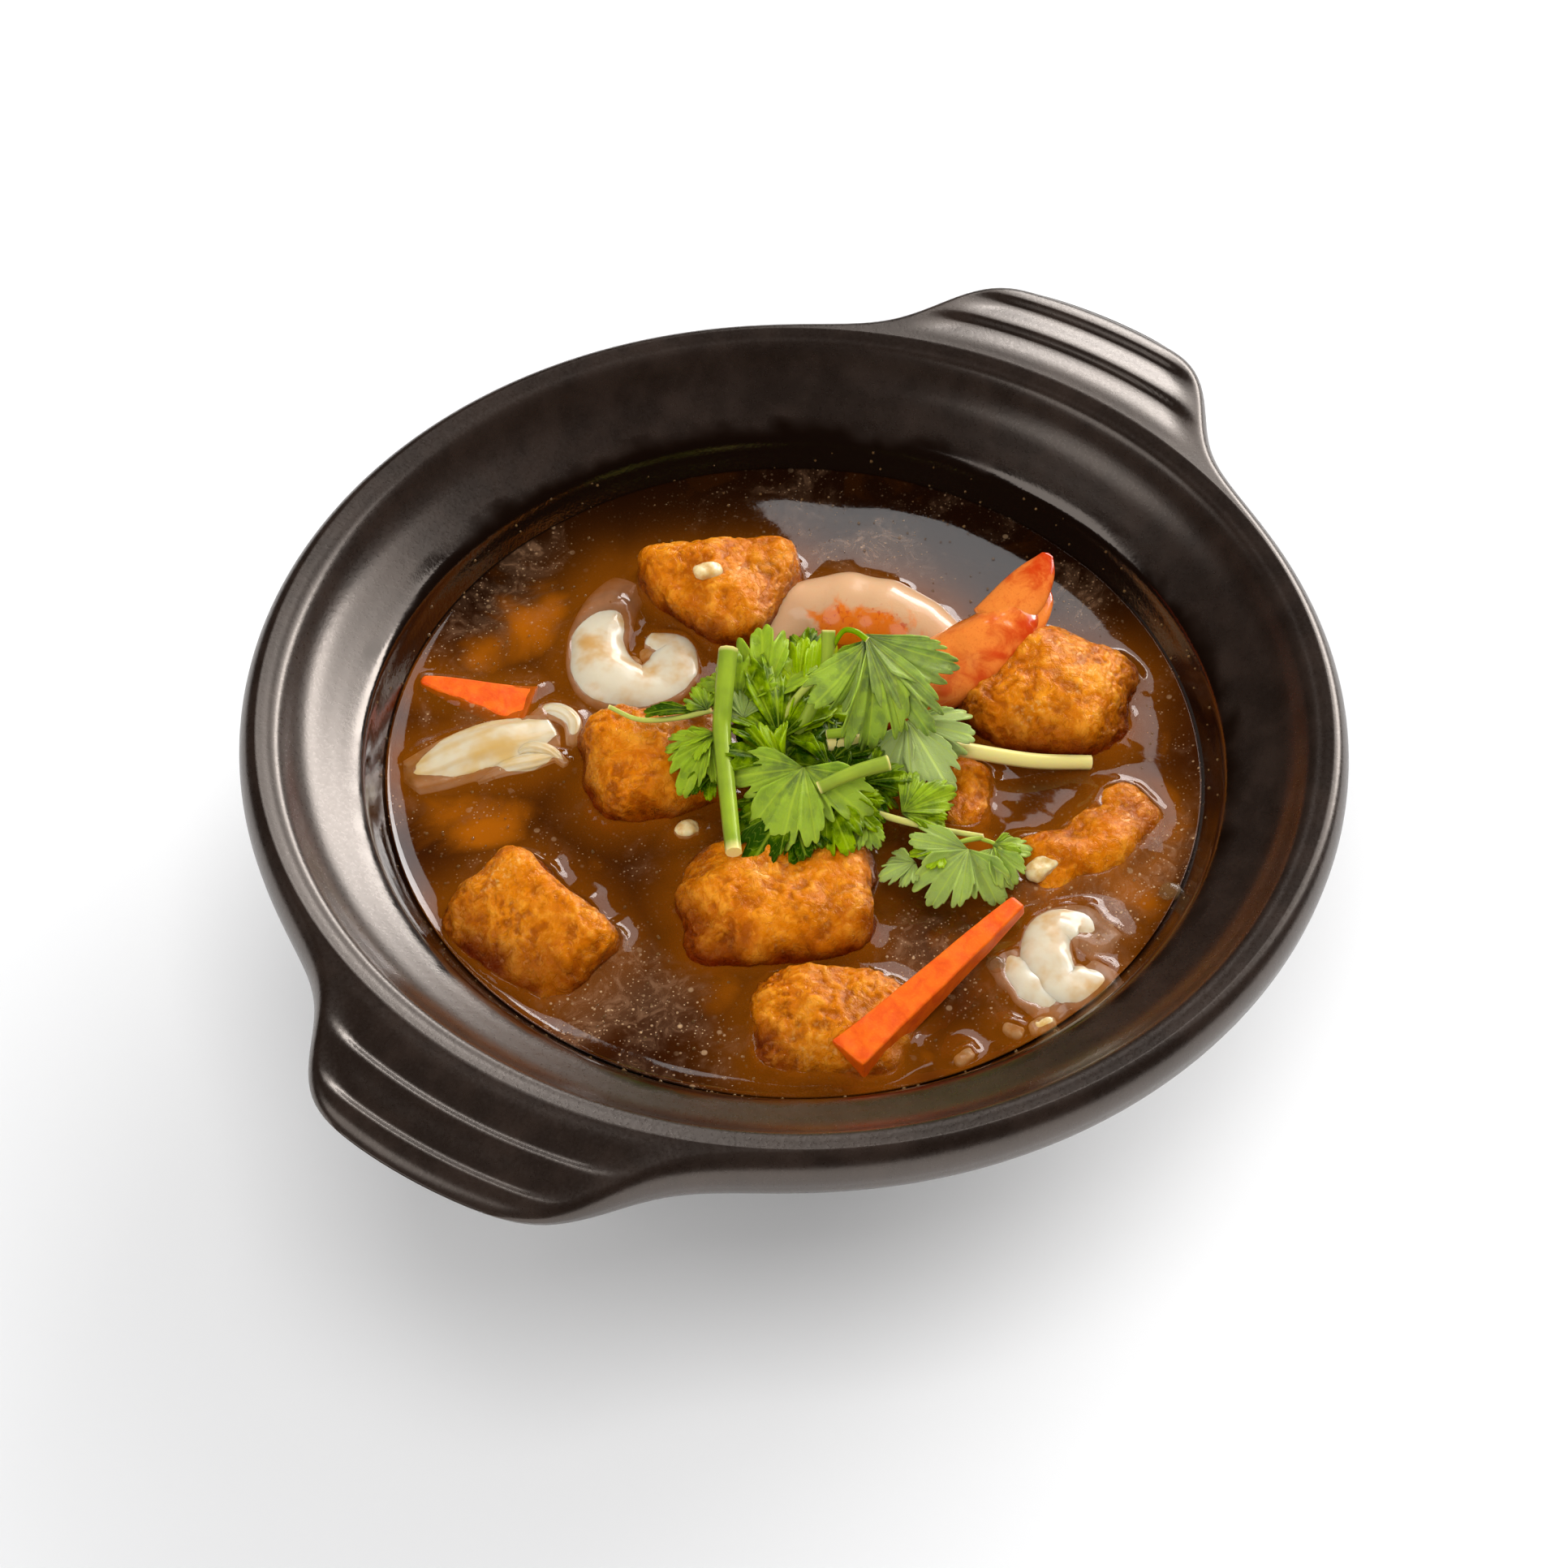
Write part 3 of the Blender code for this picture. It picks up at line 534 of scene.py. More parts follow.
def cabbage_flesh(settings):
    """Braised cabbage: watery pale rib with lengthwise fibres, yellower at its thin edges."""
    material, node, point = new_material("Braised cabbage")
    fibre = node("attribute", attribute_name="fibre")
    warm = node("ramp", node("noise", point, scale(8.0), 3.0, 0.55), 0.35, 0.7)
    colour = node("mix", warm, settings.cabbage, settings.cabbage_warm)
    colour = node("mix", node("ramp", fibre, 0.35, 0.9, 0, 0.55), colour, settings.cabbage_vein)
    normal = node("bump", fibre, 0.18 * MM, 0.6)
    return finish_food(material, colour, 0.3, normal, 1.4, (0.45, (1.0, 0.8, 0.4), 0.003), (0.6, 0.07))


def carrot_flesh(settings):
    """Knife-cut carrot: saturated orange, faintly streaked along the root, wet on its cut faces."""
    material, node, point = new_material("Cut carrot")
    streaks = node("ramp", node("noise", point, scale(3.2), 4.0, 0.6, 0.6), 0.35, 0.7)
    grain = node("noise", point, scale(0.45), 2.0, 0.55)
    colour = node("mix", streaks, settings.carrot, settings.carrot_deep)
    colour = node("mix", node("ramp", grain, 0.55, 0.75, 0, 0.3), colour, settings.carrot_light)
    normal = node("bump", grain, 0.06 * MM, 0.6)
    return finish_food(material, colour, 0.42, normal, 1.38, (0.25, (1.0, 0.3, 0.08), 0.002), (0.12, 0.15))


def from_middle(node, place):
    """How far a place is from the middle of its cell, in cells."""
    return node("absolute", node("subtract", node("fract", place), 0.5))


def coriander_leaf_skin(settings):
    """Fresh coriander leaf: waxy green above with a vein down each finger, duller and greyer below, with
    painted light and shade that differ from leaf to leaf.
    """
    material, node, point = new_material("Coriander leaf")
    spread, reach = node("axes", node("uv", uv_map="UVMap"))[:2]
    off = from_middle(node, node("multiply", spread, settings.veins))
    vein = node("ramp", node("multiply", off, reach), 0.01, 0.06, 1.0, 0.0)
    slanted = node("subtract", reach, node("multiply", off, 0.5))
    side_off = from_middle(node, node("multiply", slanted, SIDE_VEINS))
    vein = node("maximum", vein, node("ramp", side_off, 0.02, 0.1, 0.5, 0.0))
    patches = node("ramp", node("noise", point, scale(3.0), 3.0, 0.55), 0.3, 0.7, -0.3, 0.3)
    # Painted light and shade: each leaf's lighting sets how lit it looks.
    lit = node("add", node("attribute", attribute_name="lighting"), patches)
    # Painted shade towards each leaf's base, where the leaves overlap.
    lit = node("add", lit, node("ramp", reach, 0.1, 0.7, -0.35, 0.08))
    green = node("mix", node("ramp", lit, 0.0, 1.0), settings.leaf_shaded, settings.leaf_lit)
    green = node("mix", node("attribute", attribute_name="under"), green, settings.leaf_under)
    colour = node("mix", node("multiply", vein, 0.28), green, settings.leaf_vein)
    relief = node("subtract", node("multiply", node("noise", point, scale(0.5), 2.0, 0.55), 0.5), vein)
    normal = node("bump", relief, 0.1 * MM, 0.7)
    soft = (0.3, (0.6, 1.0, 0.05), 0.0012)
    tint = srgb("ccdc34")
    return finish_food(material, colour, 0.36, normal, 1.45, soft, (0.08, 0.2), Specular_Tint=tint)


def coriander_stalk_skin(settings):
    """Fresh coriander stalk: crisp, ribbed, yellow-green, creamy where old and pale at its cut ends."""
    material, node, point = new_material("Coriander stalk")
    patches = node("ramp", node("noise", point, scale(6.0), 3.0, 0.55), 0.35, 0.7)
    colour = node("mix", patches, settings.stalk, settings.stalk_pale)
    colour = node("mix", node("attribute", attribute_name="cream"), colour, settings.stalk_cream)
    normal = node("bump", node("noise", point, scale(0.6), 2.0, 0.55), 0.05 * MM, 0.5)
    soft = (0.35, (0.6, 1.0, 0.08), 0.0015)
    return finish_food(material, colour, 0.3, normal, 1.45, soft, (0.15, 0.1), Specular_Tint=srgb("dce060"))


def garlic_flesh(settings):
    """Braised garlic bits: soft cream-yellow, wet and rounded at their cut edges."""
    material, node, point = new_material("Braised garlic")
    warm = node("noise", point, scale(2.0), 3.0, 0.55)
    colour = node("mix", node("ramp", warm, 0.35, 0.7), settings.garlic, settings.garlic_warm)
    normal = node("bump", warm, 0.3 * MM, 0.5)
    return finish_food(material, colour, 0.3, normal, 1.4, (0.4, (1.0, 0.7, 0.35), 0.002), (0.6, 0.06))


def fat_droplet(settings):
    """Droplets of fat and foam on the broth: clear, faintly yellow, glossy."""
    material, node, point = new_material("Droplets")
    colour = node("mix", node("noise", point, scale(3.0), 2.0, 0.55), settings.deep, settings.fat)
    finish_material(material, Base_Color=colour, Roughness=0.05, IOR=1.4, Alpha=0.35)
    return finish_material(material, Coat_Weight=1.0, Coat_Roughness=0.03)


# ---------------------------------------------------------------- the pot

# The lip, the ears and the steps on them, in mm and in degrees round the pot.
LIP_CREST_RADIUS = 99.2
LIP_CREST_HEIGHT = 67.5
RIM_HEIGHT = 62.0
EAR_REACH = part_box("pot")[1][0] / MM - RIM_RADIUS
EAR_SAG = 0.5
EAR_HALF_ANGLE = 16.2
EAR_SHOULDER = 6
EAR_LIFT = 0.5
EAR_EDGE_HEIGHT = 66.3
EAR_EDGE_ROUND = 2.5
STEP_START = 101.3
STEP_PITCH = 8.2
STEP_DEPTH = 0.95
STEP_FALL = 0.79
STEP_HALF_ANGLE = 19.5
STEP_NARROWING = 0.45
STEP_END_FADE = 5
FOOT_RADIUS = 45.0
BROTH_RADIUS = 76.2
# How the lip turns under: radius, height, the share of the ear's reach that is added, and its lift there.
UNDERSIDE = [(102.1, 59.3, 0.97, 5.2), (100.9, 57.2, 0.90, 5.9), (98.6, 56.0, 0.45, 4.0)]
# Where the inner wall is wet with broth: up to this height, and how far that edge fades.
WET_HEIGHT = 57.2
WET_FADE = 2.5
WET_RADIUS = 84
# Rows of points across the lip's top, and how much they crowd towards its outer edge.
LIP_ROWS = 57
LIP_CROWDING = 1.25
# The pot's section as (radius, height), from the middle of its floor to the middle of its underside.
INSIDE = [(0, 8.0), (18, 8.2), (36, 9.6), (45, 13.0), (52, 18.5), (63, 30.0), (70, 40.0)]
INSIDE += [(BROTH_RADIUS, BROTH_LEVEL)]
LEDGE = [(79.2, 52.4), (81.2, 55.2), (85.5, 57.6), (89.8, 60.0), (92.4, 62.4), (95.0, 66.0), (97.2, 66.9)]
LEDGE += [(LIP_CREST_RADIUS, LIP_CREST_HEIGHT)]
OUTSIDE = [(94, 54), (85, 46.4), (76, 35.8), (64.5, 21.4), (53, 8.5), (47.5, 3), (45.8, 0.9)]
OUTSIDE += [(FOOT_RADIUS, 0.25)]
FOOT = [(44.4, 0), (40.6, 0), (40, 0.3), (38.5, 2.2), (36, 2.2), (0, 2.2)]


def from_nearest_ear(angle):
    """Degrees round the pot to the nearer ear's middle."""
    return abs((angle + 90) % 180 - 90)


def ear_reach(angle):
    """How far the outline stands past the rim, at this many degrees round the pot."""
    from_ear = from_nearest_ear(angle)
    sagged = EAR_REACH - EAR_SAG * (from_ear / 10) ** 2
    return max(sagged, 0.0) / (1 + (from_ear / EAR_HALF_ANGLE) ** EAR_SHOULDER)


def step_drop(radius, angle):
    """Depth of the ear's steps: a slow fall outward, then a quick rise to the next crest."""
    phase = ((radius - STEP_START) / STEP_PITCH) % 1
    falling = 0.5 - 0.5 * np.cos(math.pi * phase / STEP_FALL)
    rising = 0.5 + 0.5 * np.cos(math.pi * (phase - STEP_FALL) / (1 - STEP_FALL))
    inside_end = STEP_HALF_ANGLE - STEP_NARROWING * (radius - RIM_RADIUS) - from_nearest_ear(angle)
    drop = STEP_DEPTH * np.where(phase < STEP_FALL, falling, rising)
    drop = drop * smoothstep(inside_end, 0, STEP_END_FADE)
    return np.where(radius < STEP_START, 0.0, drop)


def lip_top(fraction, angle):
    """Points of the lip's top: fraction 0 is the crest and 1 the outermost edge."""
    reach = ear_reach(angle)
    share = reach / EAR_REACH
    outer = RIM_RADIUS + reach
    radius = LIP_CREST_RADIUS + (outer - LIP_CREST_RADIUS) * fraction
    edge_height = RIM_HEIGHT + share * (EAR_EDGE_HEIGHT - RIM_HEIGHT)
    rounding = (RIM_RADIUS - LIP_CREST_RADIUS) + share * (EAR_EDGE_ROUND - RIM_RADIUS + LIP_CREST_RADIUS)
    into_round = np.maximum(0.0, 1 - (outer - radius) / rounding)
    top = LIP_CREST_HEIGHT + EAR_LIFT * smoothstep(radius - LIP_CREST_RADIUS, 0, STEP_PITCH) * share
    fall = (top - edge_height) * (1 - np.sqrt(np.maximum(0.0, 1 - into_round**2)))
    return np.stack([radius, top - fall - step_drop(radius, angle)], axis=1)


def lip_underside(angle):
    """Points of the lip from its outermost edge to where it meets the wall."""
    reach = ear_reach(angle)
    share = reach / EAR_REACH
    edge = (RIM_RADIUS + reach, RIM_HEIGHT + share * (EAR_EDGE_HEIGHT - RIM_HEIGHT))
    under = [(radius + reach * out, height + share * lift) for radius, height, out, lift in UNDERSIDE]
    return [edge, *under]


def pot_section(angle):
    """The whole section at this angle, without the two points on the axis."""
    inside = curve_through(INSIDE[1:] + LEDGE, 6)
    top = lip_top(1 - (1 - np.linspace(0, 1, LIP_ROWS)[1:-1]) ** LIP_CROWDING, angle)
    outside = curve_through(lip_underside(angle) + OUTSIDE, 5)
    return np.vstack([inside, top, outside, FOOT[:-1]])


def build_pot(settings):
    """Turns the section round the pot, ears and all, and closes its floor and its underside."""
    angles = np.arange(settings.sides) * 360 / settings.sides
    rings = []
    for angle in angles:
        section = pot_section(angle)
        across, along = math.cos(math.radians(angle)), math.sin(math.radians(angle))
        rings.append(np.stack([section[:, 0] * across, section[:, 0] * along, section[:, 1]], axis=1))
    count = len(rings[0])
    points = np.vstack([*rings, [(0, 0, INSIDE[0][1]), (0, 0, FOOT[-1][1])]])
    body = np.arange(len(rings) * count).reshape(len(rings), count)
    beside = np.roll(body, -1, axis=0)
    quads = np.stack([body[:, :-1], body[:, 1:], beside[:, 1:], beside[:, :-1]], axis=-1).reshape(-1, 4)
    faces = quads.tolist() + cap(body[:, 0], len(points) - 2) + cap(body[:, -1], len(points) - 1, flip=True)
    radius = np.hypot(points[:, 0], points[:, 1])
    ragged = layered_noise(points, 5.0, 3)
    inside = (radius < WET_RADIUS) & (points[:, 2] > INSIDE[0][1] - 1)
    wet = smoothstep(WET_HEIGHT + ragged - points[:, 2], 0, WET_FADE) * inside
    material = stoneware_glaze(settings)
    piece = make_piece("pot_body", points, faces, material, pot_frame, {"wet": wet})
    finish_piece(piece, "stoneware", "pot")


# ---------------------------------------------------------------- the tofu

# Each block: centre, size, squareness, turns in degrees, taper and skew of its near end, and bump height.
TOFU = {
    "tofu_back": ((-15.8, 40.8, -3.0), (35, 24, 24), 5, (6, 0, 3), 0.74, 3.5, 1.6),
    "tofu_right": ((48.3, 17.5, -2.5), (34, 30, 24), 3, (0, 0, -10), 0.0, 0.0, 2.2),
    "tofu_left": ((-26.0, -2.5, -3.0), (27, 24, 23), 5, (4, 0, 14), 0.0, 0.0, 1.6),
    "tofu_front": ((-2.5, -34.0, -4.0), (38, 27, 26), 3.5, (6, 0, 4), 0.0, 0.0, 2.6),
    "tofu_corner": ((-46.5, -40.0, -4.8), (30, 23, 23), 6, (24, 8, -41), 0.0, 0.0, 1.4),
    "tofu_near": ((7.0, -60.0, -5.2), (29, 25, 22), 3.5, (16, 0, -6), 0.0, 0.0, 1.8),
    "tofu_sunk": ((53.0, -19.5, -4.4), (35, 17, 15), 3, (0, 0, 41), 0.0, 0.0, 3.4),
    "tofu_small": ((31.0, -7.0, -5.0), (14, 17, 16), 3, (0, 0, 0), 0.0, 0.0, 1.2),
    "tofu_middle": ((8.0, -4.0, -5.0), (24, 19, 17), 4, (0, 0, 8), 0.0, 0.0, 1.0),
}
# Widths of the skin's relief in mm, from the largest bumps to the finest crinkles.
TOFU_BUMP_WIDTH = 9.0
BLISTER_WIDTH = 4.4
WRINKLE_WIDTH = 2.6
CRINKLE_WIDTH = 1.1
# The skin darkens below this height above the broth, or below just over the top of a lower block: partly
# soaked skin, partly painted shade on the lower faces.
TOFU_SOAK_AND_SHADE_BELOW = 9.5
TOFU_SOAK_AND_SHADE_PAST_TOP = 1.5
SOAK_AND_SHADE_FADE = 9


def tofu_points(seed, size, squareness, taper, skew, bump_height, spacing):
    """The block with its large bumps and the crinkles of its skin, and how far each point is up a crest."""
    cells = int(max(size) / spacing)
    points, quads = rounded_block(size, squareness, cells, taper, skew)
    normals = point_normals(points, quads)
    shift = Vector((seed * 7.3, seed * 3.1, seed))
    push = [noise.noise(Vector(point) / TOFU_BUMP_WIDTH + shift) for point in points]
    warp = np.stack([layered_noise(points + 40 * k, 7.0, seed + 20 * k, 2) for k in range(3)], axis=1)
    folded = points + 1.8 * warp
    blister = layered_noise(points, BLISTER_WIDTH, seed + 15, 2)
    wrinkle = layered_noise(folded, WRINKLE_WIDTH, seed + 5, 2)
    crinkle = layered_noise(folded, CRINKLE_WIDTH, seed + 9, 2)
    rough = smoothstep(layered_noise(points, 9.0, seed + 31, 2), -0.3, 0.7)
    height = 0.4 * blister + 0.22 * wrinkle + (0.12 + 0.2 * rough) * crinkle
    crest = np.clip(0.5 + 0.25 * blister + 0.3 * wrinkle + (0.2 + 0.3 * rough) * crinkle, 0, 1)
    points = points + normals * (bump_height * np.array(push) + height)[:, None]
    return points, quads, crest


def build_tofu(settings):
    """Fried blocks, each with a skin of its own that darkens lower down, as soaked skin and as painted
    shade on the lower faces.
    """
    material = fried_tofu_skin(settings)
    for seed, (name, row) in enumerate(TOFU.items(), start=1):
        centre, size, squareness, turns, *near_end, bump_height = row
        points, quads, crest = tofu_points(seed, size, squareness, *near_end, bump_height, settings.spacing)
        points = turned(points, centre, turns)
        soak_and_shade_below = min(TOFU_SOAK_AND_SHADE_BELOW, centre[2] + size[2] / 2 + TOFU_SOAK_AND_SHADE_PAST_TOP)
        ragged = 2 * layered_noise(points, 6.0, seed + 40, 2)
        # Darker lower down: soaked skin and painted shade on the lower faces.
        soak_and_shade = smoothstep(soak_and_shade_below - points[:, 2] + ragged, 0, SOAK_AND_SHADE_FADE)
        values = {"crest": crest, "soak_and_shade": soak_and_shade}
        piece = make_piece(name + "_skin", points, quads, material, attributes=values)
        finish_piece(piece, "tofu", name)


# ---------------------------------------------------------------- the seafood

# Each as a curve of (x, y, z, half width).
SHRIMP_BODY = [
    (-5.5, 32, -1.8, 3.6),
    (1, 37.5, -1.2, 7.4),
    (10, 38.2, -0.6, 9.2),
    (19, 35.6, 0, 8.8),
    (27, 30.5, 0.8, 7.0),
    (32, 27.5, 0.8, 4.6),
]
SHRIMP_TAIL = [
    (16, 11.5, 2.4, 5.6),
    (25, 17.0, 4.2, 7.4),
    (32.5, 22.2, 5.6, 7.4),
    (38.5, 26.8, 7.2, 6.2),
    (43.0, 30.8, 8.8, 4.8),
    (45.0, 33.0, 10.0, 2.2),
]
SHRIMP_BLADES = [
    [(38.2, 28.4, 8.8, 5.2), (43.2, 34.0, 10.8, 5.0), (46.6, 38.6, 12.8, 3.4), (48.4, 41.8, 14.4, 1.2)],
    [(39.6, 26.0, 7.6, 4.6), (43.6, 30.2, 8.6, 4.6), (46.6, 34.2, 9.8, 3.2), (48.0, 37.0, 10.8, 1.0)],
]
SQUID_LEFT = [
    (-33.4, 48.0, -4.6, 4.0),
    (-36.4, 42.2, -3.2, 5.4),
    (-38.2, 35.5, -2.0, 6.0),
    (-39.0, 28.5, -1.4, 6.6),
    (-36.4, 21.6, -1.2, 7.2),
    (-29.4, 18.4, -1.0, 6.6),
    (-24.0, 22.4, -0.4, 5.2),
    (-24.2, 28.4, 0.0, 4.0),
    (-28.8, 30.0, 0.2, 2.2),
]
SQUID_RIGHT = [
    (57.5, -41.0, -1.8, 3.6),
    (52.5, -36.6, -1.2, 5.0),
    (47.2, -38.8, -0.6, 5.2),
    (46.4, -44.5, -0.6, 5.4),
    (49.0, -50.5, -0.8, 5.2),
    (54.5, -49.5, -1.0, 4.2),
    (57.0, -45.8, -1.4, 2.8),
]
SQUID_FIN = [
    (38.6, -44.0, -1.2, 3.0),
    (41.0, -48.0, -0.8, 4.2),
    (45.0, -52.6, -1.0, 4.4),
    (49.0, -56.0, -1.6, 3.4),
]
SQUID_CURLS = {
    "squid_curl": (SQUID_LEFT, "squid_left"),
    "squid_frill": (SQUID_RIGHT, "squid_right"),
    "squid_fin": (SQUID_FIN, "squid_right"),
}


def uneven(points, height, seed, octaves, share):
    """The points of a soft piece, moved by up to about height mm, by this share of it along each axis."""
    return points + height * layered_noise(points, 5.0, seed, octaves)[:, None] * np.array(share)


def segments(turn, along):
    """Five faint segments along the shrimp's back."""
    return 1 + 0.02 * np.cos(2 * math.pi * along * 5) + 0.03 * np.cos(2 * turn + 4 * along)


def keeled(turn, along):
    """Two keels along the shell of the shrimp's tail."""
    ridge = np.maximum(0, np.cos(turn - 1.9)) ** 12 + 0.7 * np.maximum(0, np.cos(turn - 0.5)) ** 16
    return 1 + 0.07 * ridge + 0.03 * np.cos(2 * turn) + 0.012 * np.cos(9 * along)


def build_shrimp(settings):
    """A curled body with its orange band on the outer side, a shelled tail and the tail's two blades."""
    flesh = shrimp_flesh(settings)
    points, faces, turn, along = sweep(SHRIMP_BODY, 56, 20, 0.8, segments)
    points = uneven(points, 0.14, 31, 2, (0.3, 0.3, 1.0))
    outer_side = smoothstep(np.cos(turn + 0.25), -0.55, 0.5)
    band = outer_side * smoothstep(0.98 - along, 0, 0.3) * smoothstep(along, 0.12, 0.34)
    body = make_piece("shrimp_flesh", points, faces, flesh, attributes={"band": band})
    finish_piece(body, "shrimp", "shrimp")

    shell = shrimp_shell(settings)
    points, faces, turn, along = sweep(SHRIMP_TAIL, 72, 18, 0.7, keeled)
    points = uneven(points, 0.3, 33, 3, (0.3, 0.3, 1.0))
    tip = 0.1 + 0.4 * along**2 + 0.35 * smoothstep(np.cos(turn), -0.2, 1.0)
    tail = make_piece("shrimp_tail", points, faces, shell, attributes={"tip": tip})
    finish_piece(tail, "shrimp", "shrimp")
    for number, blade in enumerate(SHRIMP_BLADES, start=1):
        points, faces, _, along = sweep(blade, 40, 16, 0.45, keeled)
        tip = 0.2 + 0.8 * along**2
        fan = make_piece(f"shrimp_fan_{number}", points, faces, shell, attributes={"tip": tip})
        finish_piece(fan, "shrimp", "shrimp")


def rolled(turn, along):
    """Slow waves along a flap of squid."""
    twist = 0.07 * np.cos(2 * turn + 7 * along) + 0.05 * np.cos(11 * along + turn)
    return 1 + twist + 0.03 * np.cos(23 * along)


def build_squid(settings):
    """Curls of squid: thick wavy flaps that roll over at their edges and sink into the broth at one end."""
    material = squid_flesh(settings)
    for name, (spine, node) in SQUID_CURLS.items():
        points, faces, _, _ = sweep(spine, 48, 18, 0.52, rolled)
        points = uneven(points, 0.3, 41, 2, (0.6, 0.6, 0.8))
        finish_piece(make_piece(name, points, faces, material), "squid", node)


# ---------------------------------------------------------------- the vegetables

# Each as a curve of (x, y, z, half width).
CABBAGE_STEM = [(-72, -4.6, -1.2, 4.2), (-64, -0.8, -0.4, 5.6), (-55, 3.2, -0.2, 6.2), (-46.5, 7.5, -1, 5)]
CABBAGE_SLICES = [
    [(-59.5, -4.6, -1.0, 1.2), (-54.5, -3.0, 0.4, 1.9), (-49.5, -1.6, 0.8, 2.0), (-44.5, 0.8, 0.2, 1.4)],
    [(-54.5, -1.0, 0.4, 0.8), (-50.5, 1.4, 1.2, 1.4), (-46.6, 1.0, 1.0, 1.5), (-43.0, -1.4, 0.0, 1.0)],
    [(-51.0, 9.8, -1.2, 1.2), (-46.5, 11.4, 0.2, 2.0), (-42.5, 8.8, 0.4, 2.0), (-42.0, 4.0, -0.6, 1.4)],
]
# Each cut carrot: the middles of its near and far ends, and the width and height of each.
CARROTS = {
    "carrot_stick": ((10.6, -69.6, 2.0), (41, -38, 7.2), (7.6, 7.6), (3.0, 2.8)),
    "carrot_slice": ((-72, 18.2, 0.8), (-51, 12.6, -1.8), (1.6, 1.4), (10.5, 5.4)),
}
CARROT_EDGE = 0.5
CARROT_CELLS = 48
# How much the points of a carrot crowd towards its edges.
CARROT_CROWDING = 1.4


def ribbed(turn, along):
    """Nine ribs round a cabbage stalk, slowly twisting."""
    return 1 + 0.03 * np.cos(9 * turn + 2 * along) + 0.05 * np.cos(2 * turn + 4 * along)


def build_cabbage(settings):
    """A braised cabbage rib, with thin slices curling beside its cut end."""
    material = cabbage_flesh(settings)
    ribs = [("cabbage_stem_rib", CABBAGE_STEM, 0.4, "cabbage_stem")]
    for number, spine in enumerate(CABBAGE_SLICES, start=1):
        ribs.append((f"cabbage_slice_{number}_rib", spine, 0.55, "cabbage_slice"))
    for name, spine, flat, node in ribs:
        points, faces, turn, along = sweep(spine, 72, 24, flat, ribbed)
        points = uneven(points, 0.16, 51, 2, (0.3, 0.3, 1.0))
        fibre = 0.35 + 0.35 * np.cos(9 * turn + 2 * along + 2 * layered_noise(points, 6.0, 53, 1))
        piece = make_piece(name, points, faces, material, attributes={"fibre": fibre})
        finish_piece(piece, "cabbage", node)


def build_carrots(settings):
    """Each carrot is a tapering block with small round edges and knife-cut, slightly hollow faces."""
    material = carrot_flesh(settings)
    for name, row in CARROTS.items():
        near, far, near_size, far_size = (np.array(part, float) for part in row)
        length = np.linalg.norm(far - near)
        forward = (far - near) / length
        sideways = np.cross(forward, (0, 0, 1))
        sideways /= np.linalg.norm(sideways)
        upward = np.cross(sideways, forward)
        cube, quads = cube_skin(CARROT_CELLS)
        share = (cube[:, 1:2] + 1) / 2
        half_width, half_height = ((near_size + (far_size - near_size) * share) / 2).T
        half_size = np.stack([half_width, np.full(len(cube), length / 2), half_height], axis=1)
        local = np.sign(cube) * (1 - (1 - np.abs(cube)) ** CARROT_CROWDING) * half_size
        limit = half_size - CARROT_EDGE
        core = np.clip(local, -limit, limit)
        out = local - core
        size = np.maximum(np.linalg.norm(out, axis=1, keepdims=True), 1e-9)
        local = core + out / size * np.minimum(size, CARROT_EDGE)
        local += 0.12 * layered_noise(local, 4.0, 61)[:, None]
        points = (near + far) / 2 + local @ np.stack([sideways, forward, upward])
        piece = make_piece(name + "_cut", points, quads[:, ::-1], material)
        finish_piece(piece, "carrot", name)


# Bits of garlic: centre, size and turn. The first two lie on the tofu, the others in the broth.
GARLIC = [
    ((-17.5, 40.5, 9.3), (5.5, 3.2, 2.4), 15),
    ((46.0, -25.5, 2.2), (7.5, 4.0, 3.0), 38),
    ((-19.5, -17.0, 0.4), (5.0, 3.4, 2.6), 20),
    ((-31.8, 24.6, -1.0), (4.0, 3.4, 2.6), 60),
    ((-28.6, 26.8, -0.6), (3.4, 2.6, 2.2), 10),
    ((45.0, -59.5, -0.3), (5.0, 3.2, 2.2), 30),
    ((40.0, -60.5, -0.4), (4.0, 2.6, 2.0), -20),
    ((31.0, -66.5, -0.3), (4.4, 2.6, 2.0), 40),
]


def build_garlic(settings):
    """Soft, uneven bits of garlic as one piece."""
    bits = []
    for seed, (centre, size, turn) in enumerate(GARLIC):
        points, quads = rounded_block(size, 2.8, 14)
        push = 0.35 * layered_noise(points, 2.2, 70 + seed)
        points = points + point_normals(points, quads) * push[:, None]
        bits.append((turned(points, centre, (0, 0, turn)), quads))
    piece = make_piece("garlic_bits", *joined(bits), garlic_flesh(settings))
    finish_piece(piece, "tofu", "tofu_back", "tofu_sunk")


# ---------------------------------------------------------------- the coriander

